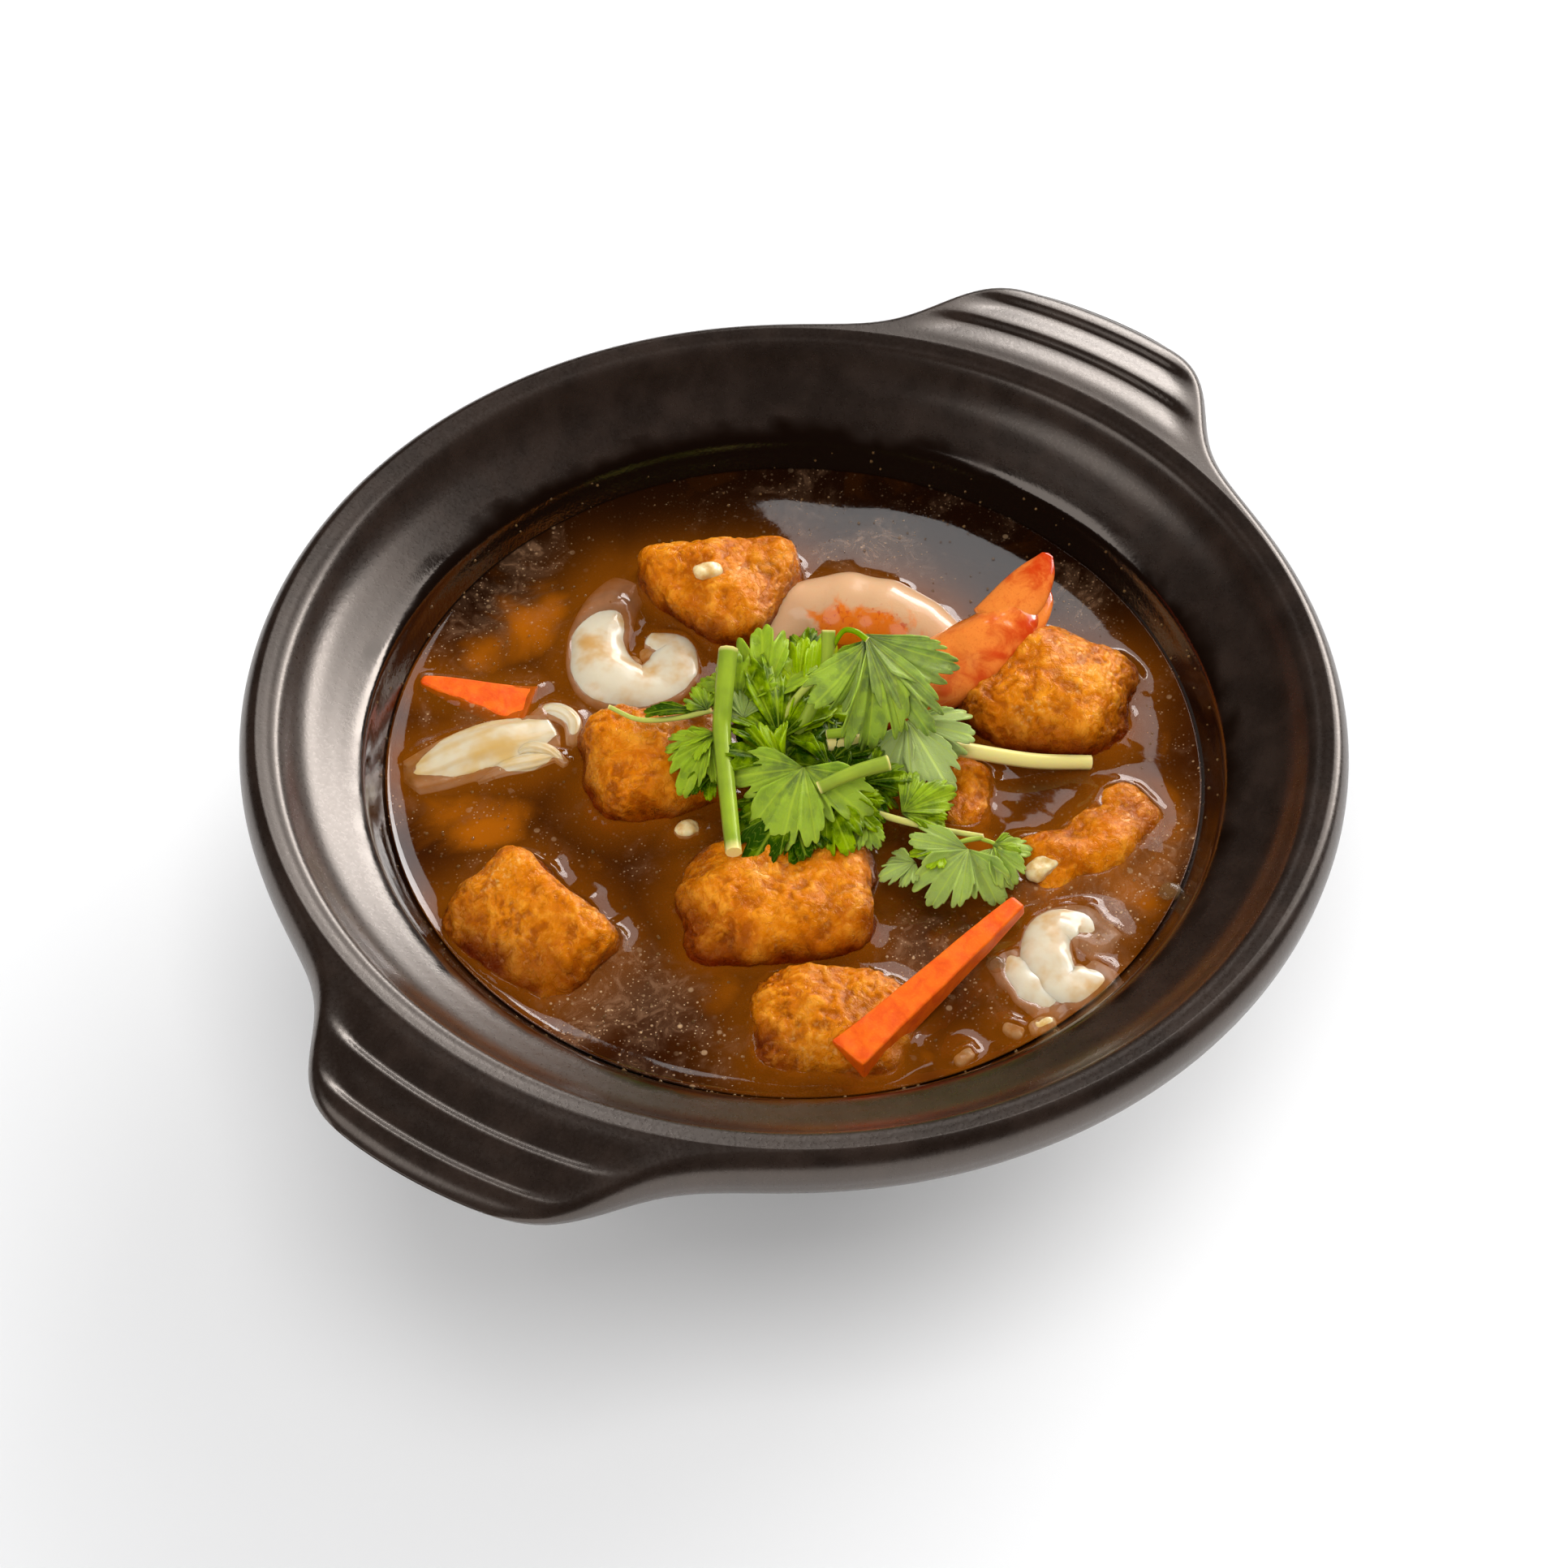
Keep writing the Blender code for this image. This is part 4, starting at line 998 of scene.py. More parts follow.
# Each stalk as (x, y, z, half width), and how creamy it is.
STALKS = {
    "standing": (
        [(-12.6, 10.7, 20, 1.9), (-13.3, 0, 16.2, 1.8), (-13.2, -7, 14.1, 1.75)]
        + [(-10.5, -31.8, 12.8, 1.55)],
        0.1,
    ),
    "back": (
        [(6, 12.4, 24, 1.35), (5.9, 8.1, 20, 1.25), (4.9, 5.6, 17, 1.3), (2.2, 0.6, 12.6, 1.2)]
        + [(-1.6, -4, 9, 1.1)],
        0.15,
    ),
    "branch": (
        [(4.4, 5.8, 18, 0.8), (2.6, 5.4, 16.6, 0.75), (-0.6, 3.0, 13.6, 0.7), (-3.4, -3.0, 11.6, 0.6)],
        0.35,
    ),
    "curved": (
        [(6.2, 9.4, 20.6, 0.5), (8.5, 11.6, 24.4, 0.5), (10.8, 10.9, 25.5, 0.55), (13.2, 9.6, 24.6, 0.6)],
        0.0,
    ),
    "left": (
        [(-34.8, 2.7, 12.2, 0.45), (-29, 0.2, 11.6, 0.5), (-22, 0.4, 12.0, 0.55), (-15.5, 2.0, 12.6, 0.6)],
        0.4,
    ),
    "cross": ([(17.3, -14.6, 18.2, 1.5), (11, -16.6, 17.6, 1.35), (4.6, -18.6, 15.4, 1.2)], 0.15),
    "short": ([(11.5, -2.5, 12.4, 1.0), (8.8, -2.3, 11.8, 1.0), (6.1, -2.1, 11, 1.0)], 0.1),
    "right": (
        [(6, -4, 10, 1.3), (18, -0.6, 8.6, 1.4), (31, -0.9, 6.2, 1.5), (44.5, -1.2, 3.6, 1.5)]
        + [(56, 0.3, 1.6, 1.4)],
        0.9,
    ),
    "front": (
        [(9, -16, 9.6, 0.75), (15.5, -18.6, 8.4, 0.7), (26, -20.4, 6.6, 0.65), (35, -21.6, 6.0, 0.5)],
        0.6,
    ),
    "twig": ([(35, -21.8, 6.0, 0.5), (31.2, -23.2, 6.4, 0.5), (27.6, -25.6, 6.4, 0.45)], 0.2),
    "twig_low": ([(34.2, -22.0, 6.0, 0.4), (37.2, -23.2, 5.8, 0.4), (39, -25.6, 5.6, 0.3)], 0.2),
    "under": ([(15.4, -20.0, 8.0, 0.4), (12.6, -21.6, 8.2, 0.4), (9.4, -19.6, 9.0, 0.4)], 0.6),
}
# Each leaf: base, tip, roll and half spread in degrees, curl, painted lighting (0 for a leaf in shade, 1
# for a lit one) and how pale it is.
LEAVES = [
    ((1.9, 15.6, 13), (3.6, 21.4, 14), 0, 50, 0.2, 0.25, 0.0),
    ((-5.6, 4.8, 12), (-7.0, 17.8, 17.6), -12, 62, 0.25, 0.75, 0.15),
    ((-10.6, 3.0, 12), (-11.4, 12.6, 17.0), -20, 55, 0.2, 0.6, 0.1),
    ((-2.9, -3.8, 11), (-4.6, 11.8, 16.6), 5, 52, 0.3, 0.45, 0.0),
    ((1.5, 3.3, 11), (8.4, 15.9, 14.6), 20, 62, 0.3, 0.95, 0.0),
    ((-2.0, -2.3, 9.8), (6.1, 6.6, 12.4), 15, 55, 0.2, 0.6, 0.0),
    ((0.5, 8.0, 13), (1.2, 17.0, 16.0), 0, 45, 0.3, 0.85, 0.0),
    ((13.2, 9.6, 24.4), (14.6, -6.5, 14), -24, 48, 0.3, 0.65, 0.3),
    ((12.8, 10.6, 25.0), (23.6, -3.6, 17.0), 26, 40, 0.45, 0.5, 0.5),
    ((12.6, 9.4, 24.6), (10.2, 4.5, 20.0), -30, 40, 0.2, 0.35, 0.1),
    ((21.0, 2.0, 10.4), (27.8, -11.0, 8), 10, 58, 0.15, 0.55, 0.95),
    ((23.0, 3.5, 9.8), (30.4, 0.5, 8.4), 10, 40, 0.3, 0.35, 0.3),
    ((-15.4, -5.0, 12.2), (-20.6, -14.0, 10.2), 0, 60, 0.25, 0.75, 0.15),
    ((-14.4, -4.0, 12.6), (-21.8, -6.6, 12.0), 15, 42, 0.2, 0.85, 0.1),
    ((-17.9, 1.7, 12.2), (-27.0, 2.4, 12.8), 20, 26, 0.2, 0.1, 0.0),
    ((-16.5, 1.6, 13), (-18.6, 6.2, 14), 0, 50, 0.2, 0.45, 0.1),
    ((-9.6, -0.6, 13.5), (-11.8, 5.0, 15), 0, 60, 0.2, 0.3, 0.5),
    ((-15.0, -10.7, 9), (-19.5, -14.8, 9), 0, 45, 0.2, 0.3, 0.0),
    ((-2.2, -11.2, 12), (-10.4, -1.6, 14), 20, 48, 0.3, 0.2, 0.0),
    ((-1.3, -12.6, 13), (-8.6, -4.6, 15.4), -38, 34, 0.35, 0.7, 0.0),
    ((4, -4, 9), (-1, 5, 10), 0, 60, 0.2, 0.0, 0.0),
    ((-5, -11, 10.4), (4, 0.5, 10.6), 0, 60, 0.2, 0.0, 0.0),
    ((9, -12, 9.6), (1, -5, 10.8), 10, 50, 0.2, 0.05, 0.0),
    ((7, -7, 9), (15, 1, 10), 10, 60, 0.2, 0.05, 0.0),
    ((6.5, -11.2, 12), (0.8, -3.4, 12.8), 30, 22, 0.2, 0.4, 0.0),
    ((1.9, -12.9, 14), (-2.6, -28.0, 11.4), 0, 76, 0.3, 0.78, 0.25),
    ((4.2, -14, 12.8), (10.4, -19.4, 11.2), 20, 46, 0.3, 0.45, 0.0),
    ((-0.4, -18.8, 9.8), (-7.4, -30.6, 10.2), 0, 55, 0.2, 0.0, 0.0),
    ((1.5, -19.4, 9.2), (0.6, -30.2, 9.6), 0, 58, 0.2, 0.05, 0.0),
    ((0.5, -16.4, 10), (-9.0, -21.0, 10.2), 0, 50, 0.2, 0.1, 0.0),
    ((6.1, -17.0, 10.6), (10.4, -27.6, 10.0), 10, 60, 0.25, 0.45, 0.0),
    ((8.8, -17.4, 11), (15.0, -23.2, 10.4), 15, 48, 0.3, 0.55, 0.0),
    ((13.4, -20.8, 8.6), (10.6, -26.8, 8.0), 0, 55, 0.2, 0.6, 0.3),
    ((12.5, -13.6, 11), (21.4, -10.6, 10), 20, 44, 0.35, 0.3, 0.0),
    ((12.1, -12.6, 10), (15.6, -20.0, 9), 0, 62, 0.2, 0.05, 0.0),
    ((20.0, -18.2, 8), (29.2, -13.0, 8.5), 15, 50, 0.3, 0.65, 0.1),
    ((20.8, -18.5, 7.5), (27.6, -17.8, 7), -10, 40, 0.2, 0.35, 0.0),
    ((22.6, -27.4, 5), (16.4, -30.2, 5), 10, 55, 0.2, 0.6, 0.7),
    ((27.5, -26.5, 6.4), (22.2, -25.6, 6.6), 15, 80, 0.2, 0.85, 0.05),
    ((32.2, -25.0, 6.2), (25.4, -35.6, 5), -15, 72, 0.2, 0.7, 0.6),
    ((36.6, -24.0, 5.4), (40.4, -31.0, 4.8), 0, 70, 0.2, 0.75, 0.5),
    ((36.8, -23.4, 5.8), (41.4, -24.6, 5.4), 10, 48, 0.2, 0.75, 0.2),
]
LEAF_THICKNESS = 0.3
# Fingers, teeth and side veins of each lobe, and the grid of points that it is drawn on.
FINGERS = 3
TEETH = 10
SIDE_VEINS = 8.0
LEAF_SPOKES = 6 * TEETH + 1
LEAF_RINGS = 9
# A leaf's lobes: turn as a share of its half spread, length as a share of its own, and tilt in degrees.
LOBES = [(-0.85, 0.78, -16), (0.85, 0.84, 14), (0.0, 1.0, 4)]
NARROWEST_LOBED = 32
# The highest leaves droop: how high that starts, how softly in mm, how much of what stands above goes down,
# and which way.
DROOPS_ABOVE = 20
DROOP_EASE = 4
DROOP_SHARE = 0.6
DROOP = np.array((0, 0.855, -1))


def leaf_lobe(seed, length, half_spread, curl):
    """One lobe laid out ahead, aside and up from its base: a wedge with three fingers and small teeth."""
    across = np.linspace(-1, 1, LEAF_SPOKES)
    bent = across + 0.07 * np.sin(2.6 * across + seed)
    finger = (bent + 1) / 2 * FINGERS
    to_cleft = 1 - np.abs(finger % 1 - 0.5) * 2
    cleft = np.exp(-((to_cleft / 0.2) ** 2)) * (np.abs(bent) < 0.8)
    reach = 1 - 0.5 * np.abs(across) ** 2.6 - (0.23 + 0.05 * math.sin(1.7 * seed)) * cleft
    teeth = np.abs(np.sin(math.pi * TEETH * (bent + 1) / 2)) ** 0.6
    reach += 0.085 * teeth + 0.05 * np.sin(4 * across + 2 * seed)
    share = np.linspace(0.02, 1, LEAF_RINGS)[:, None]
    out = share * reach
    angle = across * math.radians(half_spread)
    ahead, aside = out * np.cos(angle) * length, out * np.sin(angle) * length
    height = 0.16 * math.sin(seed * 2.3) * share * (np.abs(across) - 0.3) + curl * (share * 0.6 - out**2)
    height = height + 0.022 * share**1.5 * np.cos(2 * math.pi * finger)
    waves = 0.08 * np.sin(3.4 * across + seed) + 0.03 * np.sin(9 * across + 2 * seed)
    height = height + share**2 * waves
    return ahead, aside, height * length, finger / FINGERS, share


def leaf_frame(base, tip, roll):
    """Length of the leaf and its ahead, aside and up directions."""
    length = np.linalg.norm(tip - base)
    forward = (tip - base) / length
    level = np.cross((0, 0, 1), forward)
    level /= np.linalg.norm(level)
    upright = np.cross(forward, level)
    turn = math.radians(roll)
    aside = level * math.cos(turn) + upright * math.sin(turn)
    return length, forward, aside, np.cross(forward, aside)


def turned_pair(first, second, degrees):
    """Two coordinates turned round the third."""
    cos, sin = math.cos(math.radians(degrees)), math.sin(math.radians(degrees))
    return first * cos - second * sin, first * sin + second * cos


def leaf_blade(seed, base, tip, roll, half_spread, curl):
    """A coriander leaf of three overlapping lobes, or of one where it is narrow, as point grids and UVs."""
    base, tip = np.array(base, float), np.array(tip, float)
    length, forward, sideways, upward = leaf_frame(base, tip, roll)
    lobed = half_spread >= NARROWEST_LOBED
    grids = []
    for number, (share_of_turn, share_of_length, tilt) in enumerate(LOBES if lobed else LOBES[-1:]):
        spread = half_spread * 0.42 + 8 if lobed else half_spread
        length_here = length * share_of_length
        ahead, aside, height, place, share = leaf_lobe(seed + 2.1 * number, length_here, spread, curl)
        aside, height = turned_pair(aside, height, tilt)
        height = height + 0.02 * length * number
        ahead, aside = turned_pair(ahead, aside, share_of_turn * half_spread)
        points = base + np.stack([ahead, aside, height], axis=-1) @ np.stack([forward, sideways, upward])
        above = np.maximum(points[..., 2:] - DROOPS_ABOVE, 0)
        points = points + DROOP_SHARE * above**2 / (above + DROOP_EASE) * DROOP
        uv = np.stack(np.broadcast_arrays(place, share), axis=-1)
        grids.append((points.reshape(-1, 3), uv.reshape(-1, 2)))
    return grids


def closed_blade(points, quads):
    """Gives a blade its thickness: two skins and a rim that closes them."""
    count = len(points)
    half = point_normals(points, quads) * LEAF_THICKNESS / 2
    index = np.arange(count).reshape(LEAF_RINGS, LEAF_SPOKES)
    border = np.concatenate([index[0, :], index[1:, -1], index[-1, -2::-1], index[-2:0:-1, 0]])
    after = np.roll(border, -1)
    rim = np.stack([border, border + count, after + count, after], axis=1)
    return np.vstack([points + half, points - half]), np.vstack([quads, quads[:, ::-1] + count, rim])


def build_leaves(settings):
    """The bunch's leaves in two pieces. Each leaf has its own painted lighting, from shaded to lit, and its
    UVs place its veins.
    """
    material = coriander_leaf_skin(settings)
    quads = grid_quads(LEAF_RINGS, LEAF_SPOKES, wrap=False)
    half = len(LEAVES) // 2
    for name, rows in (("coriander_leaves_back", LEAVES[:half]), ("coriander_leaves_front", LEAVES[half:])):
        blades, uvs, lightings, unders = [], [], [], []
        for base, tip, roll, half_spread, curl, lighting, pale in rows:
            for points, uv in leaf_blade(base[0] + 2 * base[1], base, tip, roll, half_spread, curl):
                blades.append(closed_blade(points, quads))
                uvs += [uv, uv]
                lightings += [lighting] * 2 * len(points)
                unders += [pale] * 2 * len(points)
        values = {"lighting": lightings, "under": unders}
        piece = make_piece(name, *joined(blades), material, attributes=values, uv=np.vstack(uvs))
        finish_piece(piece, "coriander", "coriander")


def geometry_group(name, kinds):
    """A group that takes and gives geometry, with one more input of each name and kind.

    Returns its tree and the identifiers of those inputs.
    """
    tree = bpy.data.node_groups.new(name, "GeometryNodeTree")
    tree.interface.new_socket("Geometry", in_out="INPUT", socket_type="NodeSocketGeometry")
    sockets = {}
    for key, kind in kinds.items():
        sockets[key] = tree.interface.new_socket(key, in_out="INPUT", socket_type=kind).identifier
    tree.interface.new_socket("Geometry", in_out="OUTPUT", socket_type="NodeSocketGeometry")
    return tree, sockets


def finish_group(tree, geometry, material):
    """Ends a group with smooth, real geometry in one material."""
    real = add(tree, "realized", add(tree, "smooth", geometry))
    add(tree, "group output", add(tree, "painted", real, material))


def apply_group(piece, tree, sockets, values):
    """Runs the group on the piece with these inputs, and leaves a plain mesh."""
    modifier = piece.modifiers.new(tree.name, "NODES")
    modifier.node_group = tree
    for key, value in values.items():
        modifier[sockets[key]] = value
    mesh = bpy.data.meshes.new_from_object(piece.evaluated_get(bpy.context.evaluated_depsgraph_get()))
    piece.modifiers.clear()
    piece.data = mesh


def stalk_tree(material):
    """Turns each line of edges into a ribbed, capped stalk as thick as its half_width attribute."""
    kinds = {"Ribs": "NodeSocketInt", "Rib floor": "NodeSocketFloat"}
    tree, sockets = geometry_group("Ribbed stalk", kinds)
    start = add(tree, "group inputs")
    width = add(tree, "named values", "half_width")
    line = add(tree, "curve", start["Geometry"])
    profile = add(tree, "star", start["Ribs"], start["Rib floor"], 1.0)
    finish_group(tree, add(tree, "tube", line, profile, width, True), material)
    return tree, sockets


def build_stalks(settings):
    """Stalks that follow their curves, with creamy cut ends."""
    points, edges, widths, creams = [], [], [], []
    for spine, cream in STALKS.values():
        path = curve_through(spine, 12)
        first = len(points)
        points += path[:, :3].tolist()
        widths += (path[:, 3] * MM).tolist()
        creams += [1.0] + [cream] * (len(path) - 2) + [1.0]
        edges += [(number, number + 1) for number in range(first, len(points) - 1)]
    mesh = bpy.data.meshes.new("coriander_stalks")
    mesh.from_pydata(to_table(points).tolist(), edges, [])
    for key, values in (("half_width", widths), ("cream", creams)):
        mesh.attributes.new(key, "FLOAT", "POINT").data.foreach_set("value", values)
    piece = place_object("coriander_stalks", mesh)
    sizes = {"Ribs": settings.ribs, "Rib floor": settings.rib_floor}
    apply_group(piece, *stalk_tree(coriander_stalk_skin(settings)), sizes)
    finish_piece(piece, "coriander", "coriander")


# ---------------------------------------------------------------- the broth

MENISCUS_REACH = 1.7
WALL_MENISCUS_REACH = 2.3
# Food glows through this many mm of broth beside it, down to this depth.
GLOW_REACH = 4.2
SEEN_DEPTH = 10.0
# Points of the food this close to the broth's level make its waterline.
WATERLINE_BAND = 0.45
# How far the surface runs into the wall, and how wide the zone of finer rings beside it is.
INTO_WALL = 0.6
EDGE_ZONE = 6.0
EDGE_RINGS = 15
# Bubbles: x, y and radius.
BUBBLES = [(69.5, -29.5, 2.2), (37.0, -46.5, 1.8)]
# Where droplets lie: rings of the pot as (radius, height), over the open broth and on the wall above it.
DROPLET_BANDS = {
    "broth_droplets": [(radius, BROTH_LEVEL + 0.1) for radius in (6.0, 40.0, BROTH_RADIUS - 1)],
    "wall_splashes": [(BROTH_RADIUS + 0.8, 49.2), (79.0, 52.2), (80.0, 53.6)],
}
BAND_SIDES = 96

# Where the broth has a painted amber glow of sunk food, and where it is milky: x, y, reach in mm and
# strength.
AMBER_SPOTS = [
    (-49, 37, 9, 0.9), (-60, 24, 7, 0.7), (-70, -12, 7, 0.5), (-57, -17, 8, 1.0),
    (-36, -26, 6, 0.4), (-14, -50, 8, 0.6), (-10, -19, 6, 0.6), (34, -20, 8, 1.0),
    (62, -28, 9, 1.0), (66, -12, 7, 0.7), (44, -32, 6, 0.7), (30, -38, 6, 0.4),
    (66, 4, 6, 0.4), (22, -67, 7, 0.5), (50, -58, 8, 0.7),
]
MILKY_SPOTS = [
    (-66, 2, 12, 0.5), (-42, 8, 9, 0.5), (-30, -56, 13, 0.9), (-12, -66, 8, 0.6),
    (-20, -24, 8, 0.4), (26, -44, 11, 0.9), (68, -20, 9, 1.0), (62, -38, 8, 0.7),
    (46, -30, 7, 0.6), (8, 54, 14, 0.4), (56, 44, 9, 0.5), (-54, 42, 11, 0.5),
    (-66, 24, 8, 0.4),
]


def food_points():
    """Every point of the food's skins in the pot's frame, in mm."""
    found = []
    for obj in bpy.context.scene.objects:
        name = obj.name
        if name.endswith(("_skin", "_rib", "_cut")) or name.startswith(("squid_", "shrimp_", "garlic_")):
            if obj.type != "MESH" or obj.hide_render:
                continue
            flat = np.empty(len(obj.data.vertices) * 3, np.float32)
            obj.data.vertices.foreach_get("co", flat)
            found.append(flat.reshape(-1, 3).astype(float) / MM)
    return np.vstack(found)


def distances(points, targets):
    """How far each point is from the nearest target."""
    tree = kdtree.KDTree(len(targets))
    for number, target in enumerate(targets.tolist()):
        tree.insert(target, number)
    tree.balance()
    return np.array([tree.find(point)[2] for point in points.tolist()])


def blotches(x, y, spots):
    """Soft round spots with ragged edges, from 0 to 1."""
    ground = np.stack([x, y, np.zeros(len(x))], axis=1)
    x = x + 4 * layered_noise(ground, 14.0, 91)
    y = y + 4 * layered_noise(ground, 14.0, 95)
    total = 0
    for centre_x, centre_y, reach, strength in spots:
        total = total + strength * np.exp(-((x - centre_x) ** 2 + (y - centre_y) ** 2) / reach**2)
    return np.clip(total, 0, 1)


def broth_surface(settings):
    """The broth's skin in the pot's frame: a polar grid that climbs where it wets the food and the wall.

    Also gives the values its looks hang on: how near food is, how murky the broth is with painted shade at
    its back, and where a painted amber glow and milkiness lie.
    """
    wall = BROTH_RADIUS + INTO_WALL
    open_reach = wall - EDGE_ZONE
    inner = np.linspace(0.5, open_reach, int(open_reach / settings.ripple_grid))
    radii = np.concatenate([inner, np.linspace(open_reach, wall, EDGE_RINGS)[1:]])
    flat = np.vstack([ring(radius, 0.0, settings.broth_sides) for radius in radii])
    x, y = flat[:, 0], flat[:, 1]
    food = food_points() - (0, 0, BROTH_LEVEL)
    waterline = food[np.abs(food[:, 2]) < WATERLINE_BAND] * (1, 1, 0)
    sunk = food[(food[:, 2] < 0) & (food[:, 2] > -SEEN_DEPTH)][::4]
    distance = distances(flat, waterline)
    near = np.exp(-distances(flat, sunk) / GLOW_REACH)
    to_wall = wall - np.repeat(radii, settings.broth_sides)
    patchy = 1 + 0.45 * layered_noise(flat, 5.0, 83, 2)
    climb = settings.food_climb * patchy * np.exp(-distance / MENISCUS_REACH)
    climb = np.maximum(climb, settings.wall_climb * np.exp(-to_wall / WALL_MENISCUS_REACH))
    ripple = 0.05 * layered_noise(flat, 14.0, 81, 2)
    top = np.stack([x, y, BROTH_LEVEL + climb + ripple], axis=1)
    cos, sin = math.cos(SERVING_TURN), math.sin(SERVING_TURN)
    aside, away = x * cos + y * sin, -x * sin + y * cos
    # Painted shade: the broth turns dark towards the back; it also darkens towards the front wall.
    murk_and_light = 1 - 0.88 * smoothstep(away + 5 * layered_noise(flat, 20.0, 85, 2), 12, 50)
    murk_and_light *= 1 - 0.4 * smoothstep(-away, 62, 74)
    looks = {"near": near, "murk_and_light": murk_and_light}
    looks |= {"amber": blotches(aside, away, AMBER_SPOTS), "milk": blotches(aside, away, MILKY_SPOTS)}
    return top, len(radii), looks


def build_broth(settings):
    """The whole broth: its surface, and an underside that runs just inside the pot's own wall."""
    top, rows, looks = broth_surface(settings)
    sides = settings.broth_sides
    below = curve_through([(r + 0.35 * (r > 0), h - 0.3) for r, h in INSIDE], 4)[::-1]
    rings = [ring(radius, height, sides) for radius, height in below[1:-1]]
    points = np.vstack([top, *rings, [(0, 0, BROTH_LEVEL), (0, 0, below[-1][1])]])
    total_rows = rows + len(rings)
    faces = grid_quads(total_rows, sides)[:, ::-1].tolist()
    faces += cap(np.arange(sides), len(points) - 2)
    faces += cap(np.arange(sides) + (total_rows - 1) * sides, len(points) - 1, flip=True)
    hidden = np.zeros(len(points) - len(top))
    values = {key: np.concatenate([value, hidden]) for key, value in looks.items()}
    piece = make_piece("broth_body", points, faces, brown_broth(settings), pot_frame, values)
    finish_piece(piece, "broth", "broth")


def scatter_tree(material):
    """Scatters small balls over a surface: even spacing, random size, one seed."""
    kinds = dict.fromkeys(("Density", "Smallest", "Largest"), "NodeSocketFloat") | {"Seed": "NodeSocketInt"}
    tree, sockets = geometry_group("Scattered droplets", kinds)
    start = add(tree, "group inputs")
    spots = add(tree, "spots", start["Geometry"], start["Density"], start["Seed"])
    size = add(tree, "random", start["Smallest"], start["Largest"], start["Seed"])
    finish_group(tree, add(tree, "instances", spots, add(tree, "ball", 1.0, 2), size), material)
    return tree, sockets


def build_bubbles(settings):
    """Two foam bubbles that float at the right of the broth."""
    bubbles = []
    for x, y, radius in BUBBLES:
        points, quads = rounded_block((2 * radius, 2 * radius, 1.3 * radius), 2, 12)
        bubbles.append((points + (x, y, 0.25 * radius), quads))
    piece = make_piece("broth_bubbles", *joined(bubbles), fat_droplet(settings))
    finish_piece(piece, "broth", "broth")


def build_droplets(settings):
    """Fat droplets on the open broth and a band of splashes on the wall just above it."""
    material = fat_droplet(settings)
    values = {
        "Density": settings.droplets_each_cm2 * 1e4,
        "Smallest": settings.smallest_droplet * MM,
        "Largest": settings.largest_droplet * MM,
    }
    for seed, (name, section) in enumerate(DROPLET_BANDS.items(), start=5):
        points = np.vstack([ring(radius, height, BAND_SIDES) for radius, height in section])
        faces = grid_quads(len(section), BAND_SIDES)[:, ::-1]
        piece = make_piece(name, points, faces, material, pot_frame)
        apply_group(piece, *scatter_tree(material), values | {"Seed": seed})
        finish_piece(piece, "broth", "broth")


# ---------------------------------------------------------------- the stage

FLOOR_SIZE = 12.0
LIGHTS_AIM_AT = Vector((0, 0, 0.05))
# Softboxes: azimuth and elevation from the diner in degrees, distance, width and depth in m, power in W,
# and whether wet surfaces mirror it. The two fills only soften the shadows.
SOFTBOXES = {
    "softbox_back": (145, 26.5, 1.3, 1.16, 0.4, 14, True),
    "softbox_back_high": (145, 44.5, 1.3, 1.16, 0.4, 3.2, True),
    "softbox_left": (-75, 48, 1.6, 0.8, 0.8, 3.2, True),
    "fill_top": (10, 78, 1.8, 1.0, 1.0, 11, False),
    "fill_front": (-20, 38, 1.8, 1.2, 1.2, 13, False),
}
CAMERA_LENS = 76.85
CAMERA_SHIFT = (-0.0069, -0.0440)
CAMERA_ELEVATION = 49.46
CAMERA_DISTANCE = 0.6223
CAMERA_AIM = Vector((0, 0, RIM_HEIGHT * MM))


def from_diner(azimuth, elevation, distance):
    """A point seen from the middle: azimuth 0 is at the diner and 90 at the diner's right, in degrees."""
    around = math.radians(azimuth - 90) + SERVING_TURN
    above = math.radians(elevation)
    level = distance * math.cos(above)
    return Vector((level * math.cos(around), level * math.sin(around), distance * math.sin(above)))


def build_floor(settings):
    """A pale sheet of paper under the pot."""
    material, node, point = new_material("Pale paper floor")
    normal = node("bump", node("noise", point, scale(4.0), 3.0, 0.55), 0.05 * MM, 0.3)
    finish_material(material, Base_Color=settings.floor, Roughness=0.8, Normal=normal)
    mesh = bpy.data.meshes.new("floor")
    corners = [(x * FLOOR_SIZE / 2, y * FLOOR_SIZE / 2, 0) for x, y in ((-1, -1), (1, -1), (1, 1), (-1, 1))]
    mesh.from_pydata(corners, [], [(0, 1, 2, 3)])
    mesh.materials.append(material)
    floor = place_object("floor", mesh)


def build_lights(settings):
    """Even white surroundings, greyer overhead, and the softboxes."""
    world = bpy.data.worlds.new("Studio")
    world.use_nodes = True
    tree = world.node_tree
    node = functools.partial(add, tree)
    upward = node("axes", node("direction"))[2]
    shade = node("mix", node("ramp", upward, 0.2, 0.65), settings.walls, settings.ceiling)
    tree.links.new(shade, tree.nodes["Background"].inputs["Color"])
    tree.nodes["Background"].inputs["Strength"].default_value = settings.world_strength
    world.cycles_visibility.glossy = False
    bpy.context.scene.world = world
    for name, (azimuth, elevation, distance, width, depth, power, mirrored) in SOFTBOXES.items():
        light = bpy.data.lights.new(name, "AREA")
        light.shape = "RECTANGLE"
        light.size, light.size_y = width, depth
        light.energy = power * settings.light_power
        lamp = place_object(name, light)
        lamp.visible_glossy = mirrored
        lamp.location = from_diner(azimuth, elevation, distance)
        lamp.rotation_euler = (LIGHTS_AIM_AT - lamp.location).to_track_quat("-Z", "Y").to_euler()


